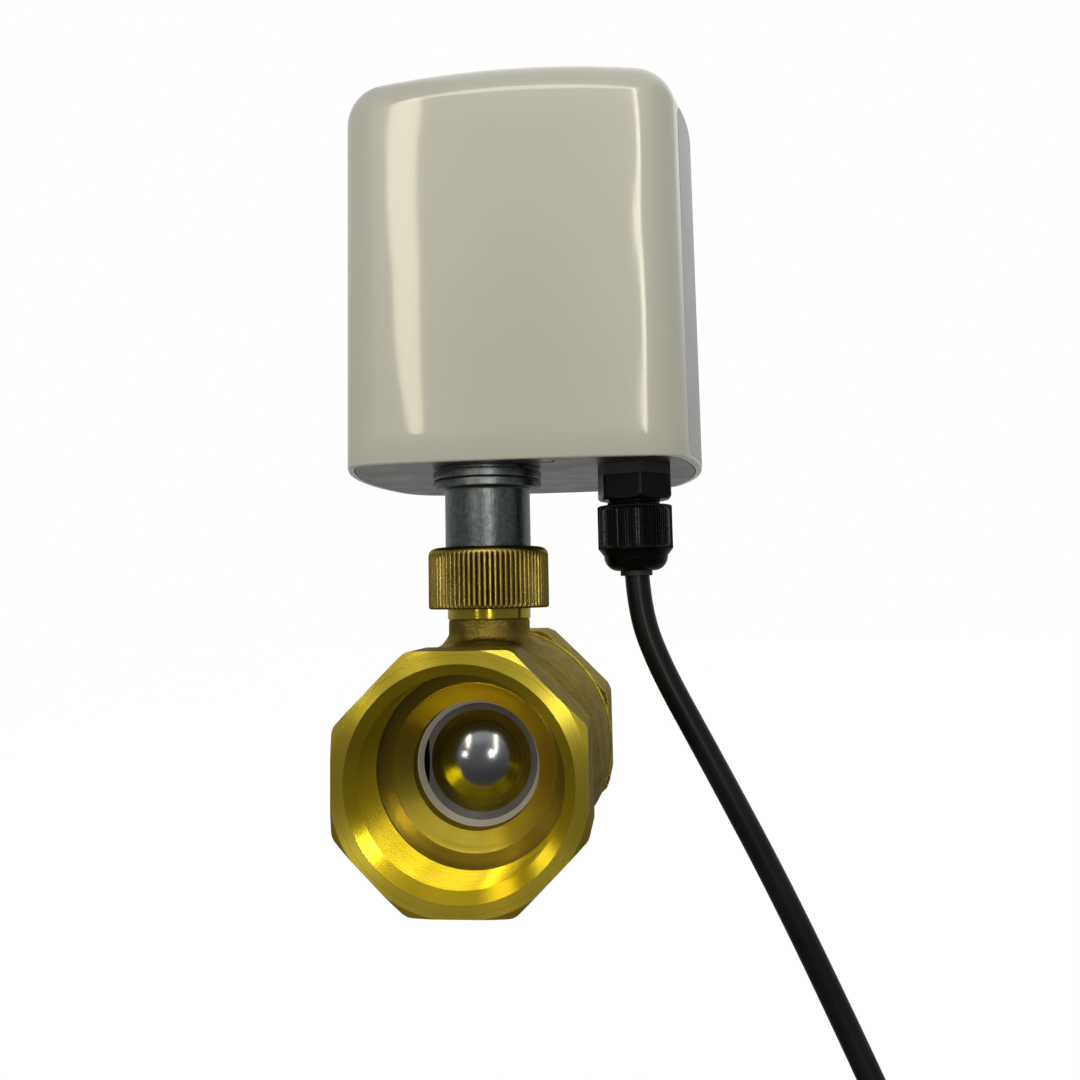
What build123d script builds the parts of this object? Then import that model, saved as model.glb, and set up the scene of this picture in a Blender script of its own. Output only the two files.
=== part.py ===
from build123d import *
import math
import os

# Motorized ball valve, in millimetres.
# The origin is the centre of the inlet mouth, +Y runs along the pipe, +Z runs up the stem.

# Valve body and ports
port_across_flats = 48.0
port_chamfer_angle = 30.0
port_chamfer_radius = 24.4
port_octagon_length = 17.0
port_chamfer_reach = 9.0
body_length = 82.0
stem_y = body_length / 2
split_offset = 17.0
cap_across_flats = 51.0
cap_corner_radius = 27.2
thread_wall_radius = 19.5
mouth_radius = 21.6
runout_radius = 20.9
runout_width = 2.0
shoulder_radius = 16.6
shoulder_length = 2.3
lip_radius = 12.9
lip_length = 4.8
waist_radius = 22.6
waist_length = 1.5
belly_radius = 26.0
belly_shoulder_radius = 25.4
belly_front_offset = 6.0
belly_crest_offset = 8.0
seam_radius = 24.2
seam_width = 2.0
seam_round = 0.8

# Ball and seats
ball_radius = 19.0
ball_bore_radius = 11.25
ball_rest_angle = 20.0
ball_slot_width = 5.0
ball_slot_depth = 3.1
seat_inner_radius = 11.9
seat_outer_radius = 15.5
seat_length = 4.4
seat_setback = 15.8
cavity_clearance = 0.9
seat_clearance = 0.05
fit_clearance = 0.05
press_clearance = 0.02
thread_clearance = 0.1

# Cap spigot
spigot_radius = 20.3
spigot_end_gap = 0.3
cavity_reach = 11.3

# Neck, stem and union
neck_radius = 9.1
neck_flare = 2.0
neck_flare_top = 25.4
neck_flare_depth = 2.6
collar_radius = 9.3
collar_low = 29.0
spigot_low = 32.3
spigot_top = 40.0
union_thread_radius = 10.95
stem_radius = 4.5
stem_flange_radius = 6.5
stem_flange_thickness = 1.7
stem_flange_gap = 0.8
washer_thickness = 0.5
stem_top = 50.0
stem_square = 6.4
tang_clearance = 0.1
groove_radius = 3.3
groove_width = 1.4
ring_section_radius = 0.6
ring_gap = 0.02
groove_heights = (26.0, 30.0)

nut_radius = 13.55
nut_low = 31.3
nut_top = 44.9
nut_lip_low = 42.6
nut_round = 1.8
nut_round_offset = 0.1
nut_chamfer = 0.4
nut_lip_clearance = 0.1
rib_count = 70
rib_depth = 0.42
rib_share = 0.42
rib_root_share = 0.55
retainer_thickness = 1.1
retainer_section = 1.95
retainer_reach = 1.15
retainer_opening = 4.0
retainer_gap = 0.15

# Zinc sleeve and base bush
sleeve_radius = 9.65
sleeve_bore_radius = 6.6
disc_radius = 12.3
lower_disc_low = 58.0
disc_split = 60.0
upper_disc_top = 62.1
disc_edge = 0.3
bush_socket_radius = 8.05
bush_socket_depth = 6.2
bush_end_gap = 0.1
bush_neck_radius = 9.75
bush_neck_step = 0.6
bush_height_above_plate = 3.6
bush_nut_across_flats = 24.0
bush_nut_height = 3.0

# Housing
plate_low = 62.7
plate_thickness = 3.0
housing_left = -34.3
housing_right = 49.5
housing_front = 23.0
housing_back = 99.5
housing_top = 152.5
front_bulge = 2.4
side_bulge = 6.5
crown_height = 2.3
front_corner_radius = 9.4
back_corner_radius = 14.0
top_edge_radius = 8.6
wall = 1.4
ledge_width = 0.8
ledge_height = 1.2
plate_gap = 0.2
gasket_width = 2.2
gasket_gap = 0.02
front_screw = (14.0, 6.2)
back_left_screw = (13.6, 10.3)
back_right_screw = (9.8, 9.8)
screw_places = (
    (front_screw[0], housing_front + front_screw[1]),
    (housing_left + back_left_screw[0], housing_back - back_left_screw[1]),
    (housing_right - back_right_screw[0], housing_back - back_right_screw[1]),
)
screw_head_chamfer = 0.4
screw_head_recess = 0.1
screw_slot_depth = 0.8
screw_slot_width = 0.7
screw_post_radius = 3.4
screw_post_clearance = 0.8
screw_radius = 1.3
screw_head_radius = 2.6
screw_head_height = 1.6
screw_length = 12.0

# Drive shaft, cams and gears
shaft_radius = 6.5
shaft_low = 41.0
shaft_socket_depth = 10.2
shaft_socket_relief = 0.1
shaft_step = 72.6
gear_seat_radius = 4.0
journal_radius = 3.0
shaft_top = 99.5
frame_inset = 4.2
lower_frame_low = 70.5
frame_thickness = 1.5
upper_frame_low = 85.0
tooth_backlash = 0.12
tooth_outer_share = 0.85
tooth_root_share = 1.1
tooth_crest_share = 0.42
tooth_foot_share = 1.34
hub_clearance = 0.05
slow_module = 0.8
fast_module = 0.6
output_teeth = 28
slow_pinion_teeth = 12
slow_wheel_teeth = 36
fast_pinion_teeth = 12
fast_wheel_teeth = 40
motor_teeth = 12
output_gear_low = 72.6
output_gear_width = 4.6
slow_wheel_low = 77.7
fast_cluster_drop = 0.4
slow_wheel_width = 2.0
fast_wheel_low = 80.6
fast_wheel_width = 2.0
motor_pinion_low = 80.2
motor_pinion_width = 3.4
axle_radius = 1.0
axle_collar = 0.8
slow_axis_angle = 50.0
motor_x = 20.0
motor_share = 6 / 13
motor_radius_share = 0.375
motor_y = stem_y + motor_share * (housing_back - stem_y)
motor_radius = motor_radius_share * (housing_back - stem_y)
motor_height = 18.0
motor_edge_radius = 1.5
motor_shaft_radius = 1.3
motor_shaft_end = 1.5
motor_shaft_clearance = 0.4
motor_bore_clearance = 0.1
motor_bore_depth = 2.0
ear_offset = 3.4
ear_reach = motor_radius + ear_offset
ear_radius = 3.2
ear_thickness = 1.0
ear_angle = 150.0
ear_screw_radius = 1.2
small_head_ratio = 1.8
small_head_height = 1.6
cam_radius = 9.0
cam_lobe_radius = 11.3
cam_thickness = 3.0
cam_hub_gap = 0.3
cam_hub_length = 2.0
cam_hub_wall = 1.5
lower_cam_low = 88.2
upper_cam_low = 94.6
lobe_at_stop = 170.0
lower_lobe_start = lobe_at_stop + ball_rest_angle
upper_lobe_start = lobe_at_stop - 90.0 + ball_rest_angle
lobe_angle = 38.0

# Limit switches
switch_back = 67.0
switch_length = 20.0
switch_width = 9.0
switch_height = 6.2
switch_right = -14.2
switch_gap = 0.2
switch_chamfer = 0.4
switch_screw_inset = 2.4
switch_screw_front = 4.0
switch_screw_back = 5.0
switch_ear_overhang = 0.8
switch_ear_inset = 0.3
switch_ear_thickness = 0.5
switch_ear_root = 0.5
switch_ear_front = 1.1
switch_ear_back = 0.4
lever_thickness = 0.4
lever_height = 4.0
lever_front = 39.0
lever_gap = 1.5
lever_pivot_inset = 1.2
lever_nose_radius = 1.0
lever_pin_radius = 0.6
lever_eye_wall = 0.55
plunger_radius = 0.8
plunger_height = 0.15
plunger_offset = 5.0

# Circuit board
board_low = 110.0
board_thickness = 1.6
board_left = -12.5
board_right = 44.4
board_front = 46.0
board_back = housing_back - 15.5
board_corner_radius = 4.0
back_post_x = -8.5
back_post_inset = 3.5
left_post = (-9.0, 54.0)
right_post = (42.4, 49.8)
post_places = ((back_post_x, board_back - back_post_inset), left_post, right_post)
post_radius = 2.0
post_stud_radius = 1.2
post_stud_end = 1.5
capacitor_size = (18.0, 9.0, 13.0)
capacitor_x = 18.0
capacitor_inset = 6.0
capacitor_place = (capacitor_x, board_back - capacitor_inset)
capacitor_edge_radius = 1.0
terminal_size = (20.0, 8.0, 10.0)
terminal_place = (26.0, 50.3)
terminal_ways = 4
terminal_hole_share = 0.33
terminal_hole_depth = 2.0
lead_rise_y = 42.8
lead_entry_height = 6.0
lead_bend_radius = 2.4
lead_gap = 0.1
lead_straight = 5.0
lead_bend_drop = 12.0

# Frame pillars
front_pillar = (-19.0, 38.0)
back_pillar_x = -12.0
back_pillar_inset = 11.5
motor_pillar_gap = 3.3
motor_pillar_angles = (71.5, 34.6)
pillar_radius = 2.5
pillar_neck_radius = 1.25
spacer_radius = 2.4
pillar_nut_height = 2.0
pillar_nut_across_flats = 5.0
pillar_end = 0.6

# Cable gland
gland_x = 33.3
gland_y = stem_y
gland_gasket_thickness = 2.5
gland_across_flats = 15.2
gland_turn = -18.6
gasket_shrink = 0.3
gland_hex_low = 54.7
gland_hex_face = 0.2
gland_hex_reach = 1.4
gland_hex_rise = 0.7
gland_thread_radius = 6.1
gland_shank_rise = 3.0
gland_thread_top = 71.5
gland_bore_radius = 4.4
gland_cap_top = 53.4
gland_cap_low = 39.0
gland_rib_low = 43.7
gland_cap_radius = 8.35
gland_dome_radius = 7.1
gland_dome_inset = 0.75
gland_dome_drop = 2.2
gland_cone_height = 1.4
gland_seal_step = 2.0
gland_mouth_radius = 4.0
gland_rib_count = 48
gland_rib_depth = 0.22
gland_rib_share = 0.5
gland_nut_height = 4.0
gland_nut_across_flats = 17.0
gland_notch_clearance = 2.5
seal_ring_low = 37.9
seal_ring_radius = 3.55
seal_wall = 0.9
seal_clearance = 0.1
seal_height = 9.0

# Cable
cable_radius = 2.75
cable_clearance = 0.03
cable_inner_top = 76.0
cable_corner_share = 0.45
cable_points = (
    (33.3, 41.0, 43.3),
    (33.3, 41.0, 33.5),
    (36.4, 41.0, 20.6),
    (48.4, 41.0, -2.6),
    (61.7, 41.0, -29.0),
    (75.3, 41.0, -59.5),
    (83.3, 37.95, -78.5),
    (88.8, 37.95, -92.5),
)
coil_turns_per_layer = 2
coil_outer_radius = 35.0
coil_pitch = 6.1
coil_climb_turns = 0.5
coil_climb_dip = 1.6
coil_straight = 6.0
coil_tangent_step = 0.0005
tie_thickness = 1.2
tie_width = 4.5
tie_clearance = 0.35
tie_angle = 90.0
tie_corner_radius = 3.0
core_radius = 0.9
core_count = 3
core_gap = 0.2
core_length = 32.0
core_spacing = 1.3
core_bare_length = 6.0
core_bare_radius = 0.5

os.makedirs("parts", exist_ok=True)


def rod(radius, low, high, center=(0.0, 0.0)):
    shape = Cylinder(radius, high - low, align=(Align.CENTER, Align.CENTER, Align.MIN))
    return Pos(center[0], center[1], low) * shape


def tube(outer, inner, low, high, center=(0.0, 0.0)):
    return rod(outer, low, high, center) - rod(inner, low, high, center)


def rod_along_pipe(radius, low, high):
    shape = Cylinder(radius, high - low, align=(Align.CENTER, Align.CENTER, Align.MAX))
    return Pos(0, low, 0) * Rot(90, 0, 0) * shape


def turned_up(points, center=(0.0, 0.0)):
    face = Plane.XZ * make_face(Polyline(*points, close=True))
    return Pos(center[0], center[1], 0) * revolve(face, axis=Axis.Z)


def turned_along_pipe(points):
    face = make_face(Polyline(*points, close=True))
    return revolve(face, axis=Axis.Y)


def block(low_corner, high_corner):
    size = [high - low for low, high in zip(low_corner, high_corner)]
    shape = Box(*size, align=(Align.MIN, Align.MIN, Align.MIN))
    return Pos(*low_corner) * shape


def prism(across_flats, sides, low, high, center=(0.0, 0.0), turn=0.0):
    corner_radius = across_flats / 2 / math.cos(math.pi / sides)
    face = Rot(0, 0, turn) * RegularPolygon(corner_radius, sides)
    return Pos(center[0], center[1], low) * extrude(face, high - low)


def octagon_along_pipe(across_flats, low, high):
    corner_radius = across_flats / 2 / math.cos(math.pi / 8)
    face = Plane.XZ * Rot(0, 0, 22.5) * RegularPolygon(corner_radius, 8)
    return Pos(0, low, 0) * extrude(face, -(high - low))


def save(shape, name):
    export_step(shape, "parts/" + name + ".step")


# Places that follow from the values above
stem_axis = (0.0, stem_y)
gland_axis = (gland_x, gland_y)
body_split = stem_y + split_offset
seat_face_depth = stem_y - seat_setback
rear_seat_face = body_length - seat_face_depth
lip_depth = seat_face_depth - lip_length
cavity_bore_end = stem_y + cavity_reach
stem_flange_low = ball_radius + stem_flange_gap

# Ball, stem and seats
slot_floor = ball_radius - ball_slot_depth
stem_flange_top = stem_flange_low + stem_flange_thickness
flange_pocket_top = stem_flange_top + washer_thickness
stem_bore_radius = stem_radius + fit_clearance
washer_inner_radius = stem_radius + fit_clearance
cavity_radius = ball_radius + cavity_clearance


def make_ball():
    shape = Sphere(ball_radius)
    shape -= rod_along_pipe(ball_bore_radius, -ball_radius, ball_radius)
    slot = block(
        (-ball_slot_width / 2, -ball_radius, slot_floor),
        (ball_slot_width / 2, ball_radius, ball_radius + 1),
    )
    shape -= slot
    closed_turn = 90.0 + ball_rest_angle
    return Pos(0, stem_y, 0) * Rot(0, 0, closed_turn) * shape


def make_seat(face_y, direction):
    back_y = face_y + direction * seat_length
    ring = turned_along_pipe([
        (seat_inner_radius, face_y),
        (seat_outer_radius, face_y),
        (seat_outer_radius, back_y),
        (seat_inner_radius, back_y),
    ])
    return ring - Pos(0, stem_y, 0) * Sphere(ball_radius + seat_clearance)


def make_stem():
    tang_low = slot_floor + tang_clearance
    tang_half = ball_slot_width / 2 - tang_clearance
    shape = rod(stem_flange_radius, stem_flange_low, stem_flange_top)
    shape += rod(stem_radius, stem_flange_top, stem_top)
    tang = block(
        (-tang_half, -stem_flange_radius, tang_low),
        (tang_half, stem_flange_radius, stem_flange_low),
    )
    shape += tang & rod(stem_flange_radius - tang_clearance, tang_low, stem_flange_low)
    half = stem_square / 2
    cutter = rod(stem_radius + 1, spigot_top - 1, stem_top)
    cutter -= block((-half, -half, spigot_top - 1), (half, half, stem_top))
    shape -= cutter
    for height in groove_heights:
        shape -= tube(stem_radius + 1, groove_radius, height, height + groove_width)
    closed_turn = 90.0 + ball_rest_angle
    return Pos(0, stem_y, 0) * Rot(0, 0, closed_turn) * shape


def make_stem_rings():
    rings = []
    middle = groove_radius + ring_section_radius + ring_gap
    for height in groove_heights:
        ring = Torus(middle, ring_section_radius)
        rings.append(Pos(0, stem_y, height + groove_width / 2) * ring)
    return Compound(children=rings)


def make_thrust_washer():
    return tube(stem_flange_radius, washer_inner_radius, stem_flange_top, flange_pocket_top, stem_axis)


# Valve body and end cap
def port_bore(face_y, direction):
    # Countersink, thread wall, run-out groove, shoulder, cone and lip, then the seat pocket.
    def at(depth):
        return face_y + direction * depth

    countersink = mouth_radius - thread_wall_radius
    groove_end = lip_depth - shoulder_length
    groove_start = groove_end - runout_width
    return turned_along_pipe([
        (0, at(-1)),
        (mouth_radius + 1, at(-1)),
        (thread_wall_radius, at(countersink)),
        (thread_wall_radius, at(groove_start)),
        (runout_radius, at(groove_start + runout_radius - thread_wall_radius)),
        (runout_radius, at(groove_end)),
        (shoulder_radius, at(groove_end)),
        (lip_radius, at(lip_depth)),
        (lip_radius, at(seat_face_depth)),
        (0, at(seat_face_depth)),
    ])


def port_envelope(face_y, direction, reach):
    # Turned chamfer that takes the corners off the octagon at its face.
    rise = math.tan(math.radians(port_chamfer_angle))
    grown = port_chamfer_radius + reach
    return turned_along_pipe([
        (0, face_y),
        (port_chamfer_radius, face_y),
        (grown, face_y + direction * reach * rise),
        (grown, face_y + direction * 3 * reach),
        (0, face_y + direction * 3 * reach),
    ])


def make_valve_body():
    octagon = octagon_along_pipe(port_across_flats, 0, port_octagon_length)
    octagon = octagon & port_envelope(0, 1, port_chamfer_reach)
    seam_start = body_split - seam_width
    belly_start = port_octagon_length + waist_length
    belly_profile = Polyline(
        (0, port_octagon_length - 1),
        (waist_radius, port_octagon_length - 1),
        (waist_radius, belly_start),
    )
    crest_y = body_split - belly_crest_offset
    belly_curve = ThreePointArc(
        (waist_radius, belly_start),
        (belly_shoulder_radius, stem_y - belly_front_offset),
        (belly_radius, crest_y),
    )
    belly_end = Polyline(
        (belly_radius, crest_y),
        (belly_radius, seam_start - seam_round),
        (belly_radius - seam_round, seam_start),
        (seam_radius, seam_start),
        (seam_radius, body_split),
        (0, body_split),
        (0, port_octagon_length - 1),
    )
    belly_edges = [*belly_profile.edges(), *belly_curve.edges(), *belly_end.edges()]
    belly = revolve(make_face(belly_edges), axis=Axis.Y)
    neck = turned_up([
        (0, 0),
        (neck_radius + neck_flare, 0),
        (neck_radius + neck_flare, neck_flare_top - neck_flare_depth),
        (neck_radius + neck_flare / 3, neck_flare_top - neck_flare_depth / 3),
        (neck_radius, neck_flare_top),
        (neck_radius, collar_low),
        (collar_radius, collar_low),
        (collar_radius, spigot_low),
        (union_thread_radius, spigot_low),
        (union_thread_radius, spigot_top),
        (0, spigot_top),
    ], stem_axis)
    shape = octagon + belly + neck
    shape -= port_bore(0, 1)
    pocket_radius = seat_outer_radius + fit_clearance
    shape -= rod_along_pipe(pocket_radius, seat_face_depth, stem_y)
    cavity_start = seat_face_depth + seat_length
    shape -= rod_along_pipe(cavity_radius, cavity_start, cavity_bore_end)
    shape -= rod_along_pipe(spigot_radius + fit_clearance, cavity_bore_end, body_split)
    shape -= rod(stem_flange_radius + fit_clearance, 0, flange_pocket_top, stem_axis)
    shape -= rod(stem_bore_radius, flange_pocket_top, spigot_top, stem_axis)
    return shape


def make_end_cap():
    octagon = octagon_along_pipe(cap_across_flats, body_split, body_length)
    octagon = octagon & port_envelope(body_length, -1, port_chamfer_reach)
    octagon = octagon & rod_along_pipe(cap_corner_radius, body_split, body_length)
    shape = octagon + rod_along_pipe(spigot_radius, cavity_bore_end + spigot_end_gap, body_split)
    shape -= port_bore(body_length, -1)
    shape -= rod_along_pipe(seat_outer_radius + fit_clearance, stem_y, rear_seat_face)
    return shape


# Union nut, sleeve and base bush
nut_bore_radius = union_thread_radius + thread_clearance


def ribbed_outline(outer, depth, count, share):
    # One raised rib per step: two corners on the crest and two in the groove.
    points = []
    step = 360.0 / count
    for index in range(count):
        middle = index * step
        half_crest = step * share / 2
        half_root = step * (1 - share) / 2 * rib_root_share
        for angle, radius in (
            (middle - half_crest, outer),
            (middle + half_crest, outer),
            (middle + step / 2 - half_root, outer - depth),
            (middle + step / 2 + half_root, outer - depth),
        ):
            turn = math.radians(angle)
            points.append((radius * math.cos(turn), radius * math.sin(turn)))
    return make_face(Polyline(*points, close=True))


def make_union_nut():
    height = nut_top - nut_low
    outline = ribbed_outline(nut_radius, rib_depth, rib_count, rib_share)
    ribs = Pos(0, stem_y, nut_low) * extrude(outline, height)
    rounded = rod(nut_radius + nut_round_offset, nut_low, nut_top, stem_axis)
    rounded = fillet(rounded.edges().sort_by(Axis.Z)[-1], nut_round)
    rounded = chamfer(rounded.edges().sort_by(Axis.Z)[0], nut_chamfer)
    shape = ribs & rounded
    shape -= rod(nut_bore_radius, nut_low, nut_lip_low, stem_axis)
    shape -= rod(sleeve_radius + nut_lip_clearance, nut_lip_low, nut_top, stem_axis)
    return shape


retainer_top = nut_lip_low - retainer_gap
retainer_low = retainer_top - retainer_thickness
retainer_outer = sleeve_radius + retainer_reach
retainer_inner = retainer_outer - retainer_section


def make_retainer():
    shape = tube(retainer_outer, retainer_inner, retainer_low, retainer_top, stem_axis)
    half = retainer_opening / 2
    opening = block((-half, stem_y, retainer_low), (half, stem_y + nut_radius, retainer_top))
    return shape - opening


def make_sleeve():
    shape = turned_up([
        (0, spigot_top),
        (sleeve_radius, spigot_top),
        (sleeve_radius, lower_disc_low),
        (disc_radius - disc_edge, lower_disc_low),
        (disc_radius, lower_disc_low + disc_edge),
        (disc_radius, disc_split - disc_edge),
        (disc_radius - disc_edge, disc_split),
        (0, disc_split),
    ], stem_axis)
    shape -= rod(sleeve_bore_radius, spigot_top, disc_split, stem_axis)
    shape -= rod(bush_socket_radius, disc_split - bush_socket_depth, disc_split, stem_axis)
    groove_inner = retainer_inner - fit_clearance
    groove_low = retainer_low - fit_clearance
    groove_top = retainer_top + fit_clearance
    groove = tube(sleeve_radius + 1, groove_inner, groove_low, groove_top, stem_axis)
    return shape - groove


plate_top = plate_low + plate_thickness
bush_top = plate_top + bush_height_above_plate


def make_base_bush():
    spigot_end = disc_split - bush_socket_depth + bush_end_gap
    spigot_outer = bush_socket_radius - fit_clearance
    step_radius = bush_neck_radius + bush_neck_step
    shape = turned_up([
        (0, spigot_end),
        (spigot_outer, spigot_end),
        (spigot_outer, disc_split),
        (disc_radius - disc_edge, disc_split),
        (disc_radius, disc_split + disc_edge),
        (disc_radius, upper_disc_top - disc_edge),
        (disc_radius - disc_edge, upper_disc_top),
        (step_radius, upper_disc_top),
        (step_radius, plate_low),
        (bush_neck_radius, plate_low),
        (bush_neck_radius, bush_top),
        (0, bush_top),
    ], stem_axis)
    return shape - rod(sleeve_bore_radius, spigot_end, bush_top, stem_axis)


def make_bush_nut():
    shape = prism(bush_nut_across_flats, 6, plate_top, plate_top + bush_nut_height, stem_axis)
    return shape - rod(bush_neck_radius + fit_clearance, plate_top, plate_top + bush_nut_height, stem_axis)


# Housing
def circle_crossing(first, first_radius, second, second_radius, side):
    # The crossing of two circles that lies on the given side of the line between their centres.
    span = math.dist(first, second)
    along = (first_radius ** 2 - second_radius ** 2 + span ** 2) / (2 * span)
    away = side * math.sqrt(first_radius ** 2 - along ** 2)
    unit_x = (second[0] - first[0]) / span
    unit_y = (second[1] - first[1]) / span
    return (first[0] + along * unit_x - away * unit_y, first[1] + along * unit_y + away * unit_x)


def bulge_radius(half_chord, rise):
    return (half_chord ** 2 + rise ** 2) / (2 * rise)


housing_middle = ((housing_left + housing_right) / 2, (housing_front + housing_back) / 2)
front_arc_radius = bulge_radius((housing_right - housing_left) / 2 - side_bulge, front_bulge)
side_arc_radius = bulge_radius((housing_back - housing_front) / 2 - front_bulge, side_bulge)


def housing_outline(inset):
    # Four shallow arcs joined by round corners, moved inwards by the inset.
    middle_x, middle_y = housing_middle
    front_center = (middle_x, housing_front + front_arc_radius)
    right_center = (housing_right - side_arc_radius, middle_y)
    corner = circle_crossing(
        front_center, front_arc_radius - inset, right_center, side_arc_radius - inset, 1)
    reach_x = corner[0] - middle_x
    reach_y = middle_y - corner[1]
    front_left = (middle_x - reach_x, middle_y - reach_y)
    front_right = (middle_x + reach_x, middle_y - reach_y)
    back_left = (middle_x - reach_x, middle_y + reach_y)
    back_right = (middle_x + reach_x, middle_y + reach_y)
    sides = [
        ThreePointArc(front_left, (middle_x, housing_front + inset), front_right),
        ThreePointArc(front_right, (housing_right - inset, middle_y), back_right),
        ThreePointArc(back_right, (middle_x, housing_back - inset), back_left),
        ThreePointArc(back_left, (housing_left + inset, middle_y), front_left),
    ]
    face = make_face([side.edge() for side in sides])
    front_corners = face.vertices().sort_by(Axis.Y)[0:2]
    face = fillet(front_corners, front_corner_radius - inset)
    back_corners = face.vertices().sort_by(Axis.Y)[-2:]
    return fillet(back_corners, back_corner_radius - inset)


def crowned_block(inset, low, top, edge_radius):
    # The outline pushed up, cut by the shallow crown of the lid, with its upper edge rounded.
    outline = housing_outline(inset)
    shape = Pos(0, 0, low) * extrude(outline, top - low)
    half_width = (housing_right - housing_left) / 2
    crown_radius = bulge_radius(half_width, crown_height)
    crown = Cylinder(crown_radius, 3 * half_width, align=(Align.CENTER, Align.CENTER, Align.CENTER))
    crown = Pos(housing_middle[0], housing_middle[1], top - crown_radius) * Rot(90, 0, 0) * crown
    shape = shape & crown
    lid = shape.faces().sort_by(Axis.Z)[-1]
    return fillet(lid.edges(), edge_radius)


ledge_z = plate_top + ledge_height


def make_cover():
    outer = crowned_block(0, plate_low, housing_top, top_edge_radius)
    inner_inset = wall + ledge_width
    inner_top = housing_top - inner_inset
    hollow = crowned_block(inner_inset, ledge_z - 1, inner_top, top_edge_radius - inner_inset)
    hollow -= block(
        (housing_left, housing_front, ledge_z - 1),
        (housing_right, housing_back, ledge_z),
    )
    hollow += Pos(0, 0, plate_low) * extrude(housing_outline(wall), ledge_z - plate_low)
    for place in screw_places:
        hollow -= rod(screw_post_radius, plate_top, housing_top, place)
    shape = outer - hollow
    for place in screw_places:
        shape -= rod(screw_radius, plate_top, plate_top + screw_length, place)
    return shape


def make_base_plate():
    shape = Pos(0, 0, plate_low) * extrude(housing_outline(wall + plate_gap), plate_thickness)
    shape -= rod(bush_neck_radius + fit_clearance, plate_low, plate_top, stem_axis)
    shape -= rod(gland_thread_radius + fit_clearance, plate_low, plate_top, gland_axis)
    for place in screw_places:
        shape -= rod(screw_radius + fit_clearance, plate_low, plate_top, place)
        shape -= rod(screw_head_radius + fit_clearance, plate_low, plate_low + screw_head_height, place)
    return shape


def make_cover_gasket():
    low = plate_top + gasket_gap
    high = ledge_z - gasket_gap
    outer = Pos(0, 0, low) * extrude(housing_outline(wall + plate_gap), high - low)
    inner = Pos(0, 0, low) * extrude(housing_outline(wall + plate_gap + gasket_width), high - low)
    shape = outer - inner
    for place in screw_places:
        shape -= rod(screw_post_radius + plate_gap, low, high, place)
    return shape


def make_cover_screws():
    screws = []
    for place in screw_places:
        head = rod(screw_head_radius, plate_low + screw_head_recess, plate_low + screw_head_height, place)
        head = chamfer(head.edges().sort_by(Axis.Z)[0], screw_head_chamfer)
        slot_top = plate_low + screw_slot_depth
        slot = block(
            (place[0] - screw_head_radius, place[1] - screw_slot_width / 2, plate_low),
            (place[0] + screw_head_radius, place[1] + screw_slot_width / 2, slot_top),
        )
        shank = rod(screw_radius - fit_clearance, slot_top, plate_top + screw_length - 1, place)
        screws.append(head - slot + shank)
    return Compound(children=screws)


# Gear train
def gear_outline(teeth, module, backlash):
    # Straight-flanked teeth with a narrow crest, thinned by the backlash on both flanks.
    pitch_radius = teeth * module / 2
    outer = pitch_radius + tooth_outer_share * module
    root = pitch_radius - tooth_root_share * module
    step = 2 * math.pi / teeth
    thin = backlash / pitch_radius
    half_pitch = step / 4 - thin
    half_crest = half_pitch * tooth_crest_share
    half_foot = half_pitch * tooth_foot_share
    points = []
    for index in range(teeth):
        middle = index * step
        for angle, radius in (
            (middle - half_foot, root),
            (middle - half_pitch, pitch_radius),
            (middle - half_crest, outer),
            (middle + half_crest, outer),
            (middle + half_pitch, pitch_radius),
            (middle + half_foot, root),
        ):
            points.append((radius * math.cos(angle), radius * math.sin(angle)))
    return make_face(Polyline(*points, close=True))


def gear(teeth, module, low, width, center, turn):
    face = Rot(0, 0, turn) * gear_outline(teeth, module, tooth_backlash)
    return Pos(center[0], center[1], low) * extrude(face, width)


def direction_angle(start, end):
    return math.degrees(math.atan2(end[1] - start[1], end[0] - start[0]))


def point_from(start, angle, distance):
    turn = math.radians(angle)
    return (start[0] + distance * math.cos(turn), start[1] + distance * math.sin(turn))


slow_distance = (output_teeth + slow_pinion_teeth) * slow_module / 2
fast_distance = (slow_wheel_teeth + fast_pinion_teeth) * fast_module / 2
motor_distance = (fast_wheel_teeth + motor_teeth) * fast_module / 2
motor_axis = (motor_x, motor_y)
slow_axis = point_from(stem_axis, slow_axis_angle, slow_distance)
fast_axis = circle_crossing(slow_axis, fast_distance, motor_axis, motor_distance, 1)


def meshing_turn(own_teeth, own_axis, other_teeth, other_axis, other_turn):
    # A tooth gap of this gear faces a tooth of the other one along the line of centres.
    toward_own = direction_angle(other_axis, own_axis)
    other_step = 360.0 / other_teeth
    own_step = 360.0 / own_teeth
    phase = (toward_own - other_turn) / other_step
    toward_other = toward_own + 180.0
    return toward_other + own_step * (0.5 + phase)


output_turn = 0.0
slow_turn = meshing_turn(slow_pinion_teeth, slow_axis, output_teeth, stem_axis, output_turn)
fast_turn = meshing_turn(fast_pinion_teeth, fast_axis, slow_wheel_teeth, slow_axis, slow_turn)
motor_turn = meshing_turn(motor_teeth, motor_axis, fast_wheel_teeth, fast_axis, fast_turn)
for name, axis in (("slow", slow_axis), ("fast", fast_axis), ("motor", motor_axis)):
    print(name, "axis", [round(value, 4) for value in axis])
pillar_places = [front_pillar, (back_pillar_x, housing_back - back_pillar_inset)]
for angle in motor_pillar_angles:
    pillar_places.append(point_from(motor_axis, angle, motor_radius + motor_pillar_gap))
upper_frame_top = upper_frame_low + frame_thickness
lower_frame_top = lower_frame_low + frame_thickness
fast_cluster_low = slow_wheel_low - fast_cluster_drop


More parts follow.
